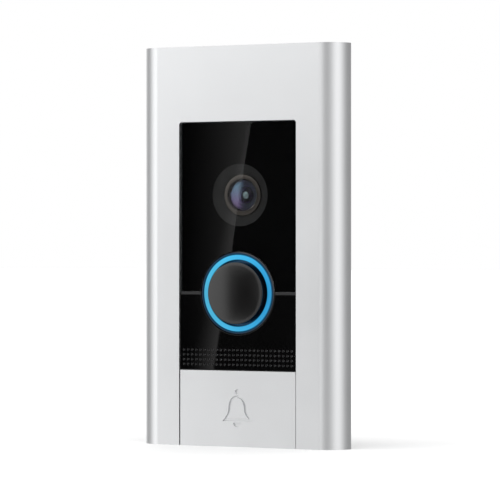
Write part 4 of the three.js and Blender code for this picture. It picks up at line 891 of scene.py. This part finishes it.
front_element = dome("front_element", element_radius, element_low.y + 0.1 * mm, 0.55 * mm,
                     element_low.y + 1.1 * mm)
coated, tree = new_material("coated_glass")
right, up, radius = about_axis(tree, camera_z)
# Painted reflection: a crescent on the left gets a brighter blue-to-violet tint and mirrors more.
violet_to_blue = (up / element_radius * 0.9 + 0.5).above(0).below(1)
cool = blend(tree, violet_to_blue, (0.62, 0.42, 0.90), (0.42, 0.72, 1.0))
left_half = (0.25 - right / element_radius * 1.9).above(0).below(1)
inside_edge = ((1 - radius / element_radius) / 0.14).above(0.3).below(1)
painted_reflection_crescent = left_half * inside_edge
painted_reflection_tint = blend(tree, painted_reflection_crescent, (0.05, 0.03, 0.09), cool)
mirrored = edge_glow(tree, 1.5) * 0.6 + painted_reflection_crescent * 0.05 + 0.05
clear_glass(tree, mirrored, (0.90, 0.93, 0.96), painted_reflection_tint, 0.03)
fit(front_element, "unit", "lens_glass", coated, "lens_front_element")

seat = barrel_low.y + 1.4 * mm
mouth, rear_bore, iris = 4.62 * mm, 3.5 * mm, 1.1 * mm
ledge_radius, ledge_front = 2.1 * mm, seat - 0.1 * mm
baffle_steps, step_width, step_height = 3, 0.8 * mm, 0.35 * mm
barrel_line = [(mouth, barrel_low.y), (barrel_high.x, barrel_low.y), (barrel_high.x, barrel_high.y),
               (rear_bore, barrel_high.y), (rear_bore, seat + 0.4 * mm), (iris, seat + 0.4 * mm),
               (iris, seat + 0.2 * mm), (iris + 0.4 * mm, ledge_front), (ledge_radius, ledge_front)]
for step in range(baffle_steps):
    ledge_radius += step_width
    barrel_line.append((ledge_radius, ledge_front - step_height * step))
    barrel_line.append((ledge_radius, ledge_front - step_height * (step + 1)))
barrel_line.append((mouth, ledge_front - step_height * baffle_steps))
barrel_line.append((mouth, barrel_low.y))
barrel = turned("barrel_turning", barrel_line, z=camera_z, sides=72)
smooth(barrel, 30)
barrel_black, tree = new_material("barrel_black")
rub = noise(tree, 800, 3)
tone = blend(tree, rub, (0.008, 0.008, 0.010), (0.014, 0.014, 0.017))
surface(tree, {"Base Color": tone, "Roughness": rub * 0.2 + 0.35})
fit(barrel, "unit", "housing_black", barrel_black, "lens_barrel")

retainer_profile = [(1.15, -0.45), (1.45, -0.7), (1.65, -0.7), (1.75, -0.45), (2.35, -0.45),
                    (2.5, -0.35), (2.5, -0.15), (1.15, -0.15), (1.15, -0.45)]
retainer = turned("lens_retainer", [(radius * mm, seat + y * mm) for radius, y in retainer_profile],
                  z=camera_z, sides=64)
smooth(retainer, 30)
fit(retainer, "unit", "lens_trim", anodised)
second_element = dome("second_element", iris, seat - 0.75 * mm, 0.3 * mm, seat - 0.15 * mm)
green_coat, tree = new_material("green_coated_glass")
hue = noise(tree, 300, 1)
tint = blend(tree, hue, (0.75, 0.95, 0.80), (0.90, 1.0, 0.92))
clear_glass(tree, edge_glow(tree, 1.6) * 0.6 + 0.30, (0.55, 0.62, 0.60), tint, 0.03)
fit(second_element, "unit", "lens_glass", green_coat)


# ---- Housings, bracket and connectors ------------------------------------------------------------
# Black moulded housings are screwed together front to back, and a zinc-plated steel bracket sits on
# the wall. The tower at the rear holds the network jack and the terminals for the bell wires.
def broken_copy(name, node, width, segments=2):
    """A copy of a CAD node with its coplanar triangles joined and its edges broken."""
    piece = bpy.data.objects.new(name, nodes[node].data.copy())
    bpy.context.scene.collection.objects.link(piece)
    piece.data.materials.clear()
    choose(piece, "VERT", lambda vertex: True)
    bpy.ops.mesh.select_all(action="SELECT")
    bpy.ops.mesh.remove_doubles(threshold=0.001 * mm)
    bpy.ops.mesh.dissolve_limited(angle_limit=math.radians(0.5))
    done()
    round_edges(piece, width, segments, angle=50)
    smooth(piece)
    return piece


def moulded(name, dark, light, roughness, grain_scale, relief_strength):
    """A textured moulded plastic."""
    material, tree = new_material(name)
    fine = noise(tree, grain_scale, 3)
    broad = noise(tree, 40, 2)
    tone = blend(tree, fine * 0.5 + broad * 0.5, dark, light)
    relief = bumps(tree, fine, relief_strength, 0.04 * mm)
    surface(tree, {    "Base Color": tone, "Roughness": broad * 0.1 + roughness, "Normal": relief})
    return material


housing_plastic = moulded(
    "housing_plastic", (0.016, 0.017, 0.018), (0.032, 0.033, 0.034), 0.48, 2600, 0.3)
cream_plastic = moulded("cream_plastic", (0.62, 0.59, 0.52), (0.74, 0.71, 0.64), 0.4, 1800, 0.12)
rubber = moulded("soft_rubber", (0.010, 0.010, 0.011), (0.020, 0.020, 0.021), 0.75, 1500, 0.2)

_, tub_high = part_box("rear_housing")
tub_back = 21.5 * mm
tub = broken_copy("rear_housing_moulding", "rear_housing", 0.25 * mm)
rib_count = 9
rib_pitch = 6 * mm
rib_height, rib_half = 0.4 * mm, 0.6 * mm
first_rib = -rib_pitch * (rib_count - 1) / 2
for side, side_name in ((-1, "left"), (1, "right")):
    wall = side * tub_high.x
    rib = cube("side_ribs_" + side_name, (wall - rib_height, 3 * mm, first_rib - rib_half),
               (wall + rib_height, tub_back - 2.5 * mm, first_rib + rib_half))
    round_edges(rib, 0.25 * mm, segments=2)
    repeat(rib, rib_count, (0, 0, rib_pitch))
    smooth(rib)
    fit(rib, "unit", "housing_black", housing_plastic)
fit(tub, "unit", "housing_black", housing_plastic, "rear_housing")

label_half, label_low, label_high = 9 * mm, -30 * mm, -18 * mm
rating_plate = cube("blank_rating_plate", (-label_half, tub_back - 0.02 * mm, label_low),
                    (label_half, tub_back + 0.12 * mm, label_high))
round_chosen(rating_plate, 1 * mm, 5, lambda edge: runs_along(edge, 1))
round_edges(rating_plate, 0.04 * mm, segments=1)
foil = moulded("plain_foil_label", (0.55, 0.56, 0.57), (0.66, 0.67, 0.68), 0.32, 900, 0.05)
fit(rating_plate, "unit", "steel", foil)

front_shell = broken_copy("front_housing_moulding", "front_housing", 0.18 * mm)
fit(front_shell, "unit", "housing_black", housing_plastic, "front_housing")
wall_bracket = broken_copy("bracket_pressing", "bracket", 0.2 * mm)
fit(wall_bracket, "unit", "steel", zinc, "bracket")
jack = broken_copy("jack_shell", "ethernet_jack", 0.2 * mm)
fit(jack, "unit", "steel", zinc, "ethernet_jack")
terminals = broken_copy("terminal_moulding", "terminal_block", 0.25 * mm)
fit(terminals, "unit", "cream_plastic", cream_plastic, "terminal_block")

gold, tree = new_material("gold_contacts")
rub = noise(tree, 1200, 2)
tone = blend(tree, rub, (0.72, 0.50, 0.20), (0.86, 0.64, 0.30))
surface(tree, {"Base Color": tone, "Metallic": 1.0, "Roughness": rub * 0.15 + 0.2})
contacts = broken_copy("jack_contact_comb", "jack_contacts", 0.05 * mm, segments=1)
fit(contacts, "unit", "steel", gold, "jack_contacts")


# ---- Inner pieces --------------------------------------------------------------------------------
# Boards, speaker, lamps and seals keep their CAD shapes, because the housings hide them. Each kind has
# the finish of the real thing: green solder mask, plated tin, dark ferrite, black rubber.
solder_mask, tree = new_material("solder_mask")
place = add_node(tree, "ShaderNodeTexCoord", output="Object")
tracks = add_node(tree, "ShaderNodeTexBrick", {"offset": 0.5},
                  {"Vector": place, "Scale": 700, "Mortar Size": 0.03}, output="Fac")
haze = noise(tree, 250, 3)
tone = blend(tree, tracks * 0.6 + haze * 0.4, (0.006, 0.085, 0.030), (0.020, 0.170, 0.070))
surface(tree, {"Base Color": tone, "Roughness": haze * 0.15 + 0.3})
ferrite = moulded("ferrite", (0.035, 0.036, 0.038), (0.065, 0.066, 0.070), 0.5, 900, 0.3)
lamp_glass = moulded("lamp_resin", (0.020, 0.018, 0.030), (0.040, 0.036, 0.055), 0.08, 300, 0.02)
finishes = {"steel": zinc, "soft_black": rubber, "housing_black": housing_plastic, "ferrite": ferrite,
            "cream_plastic": cream_plastic, "circuit_board": solder_mask, "lens_glass": lamp_glass}
for node in nodes.values():
    slot = node.data.materials[0].name
    if slot in finishes:
        node.data.materials[0] = finishes[slot]
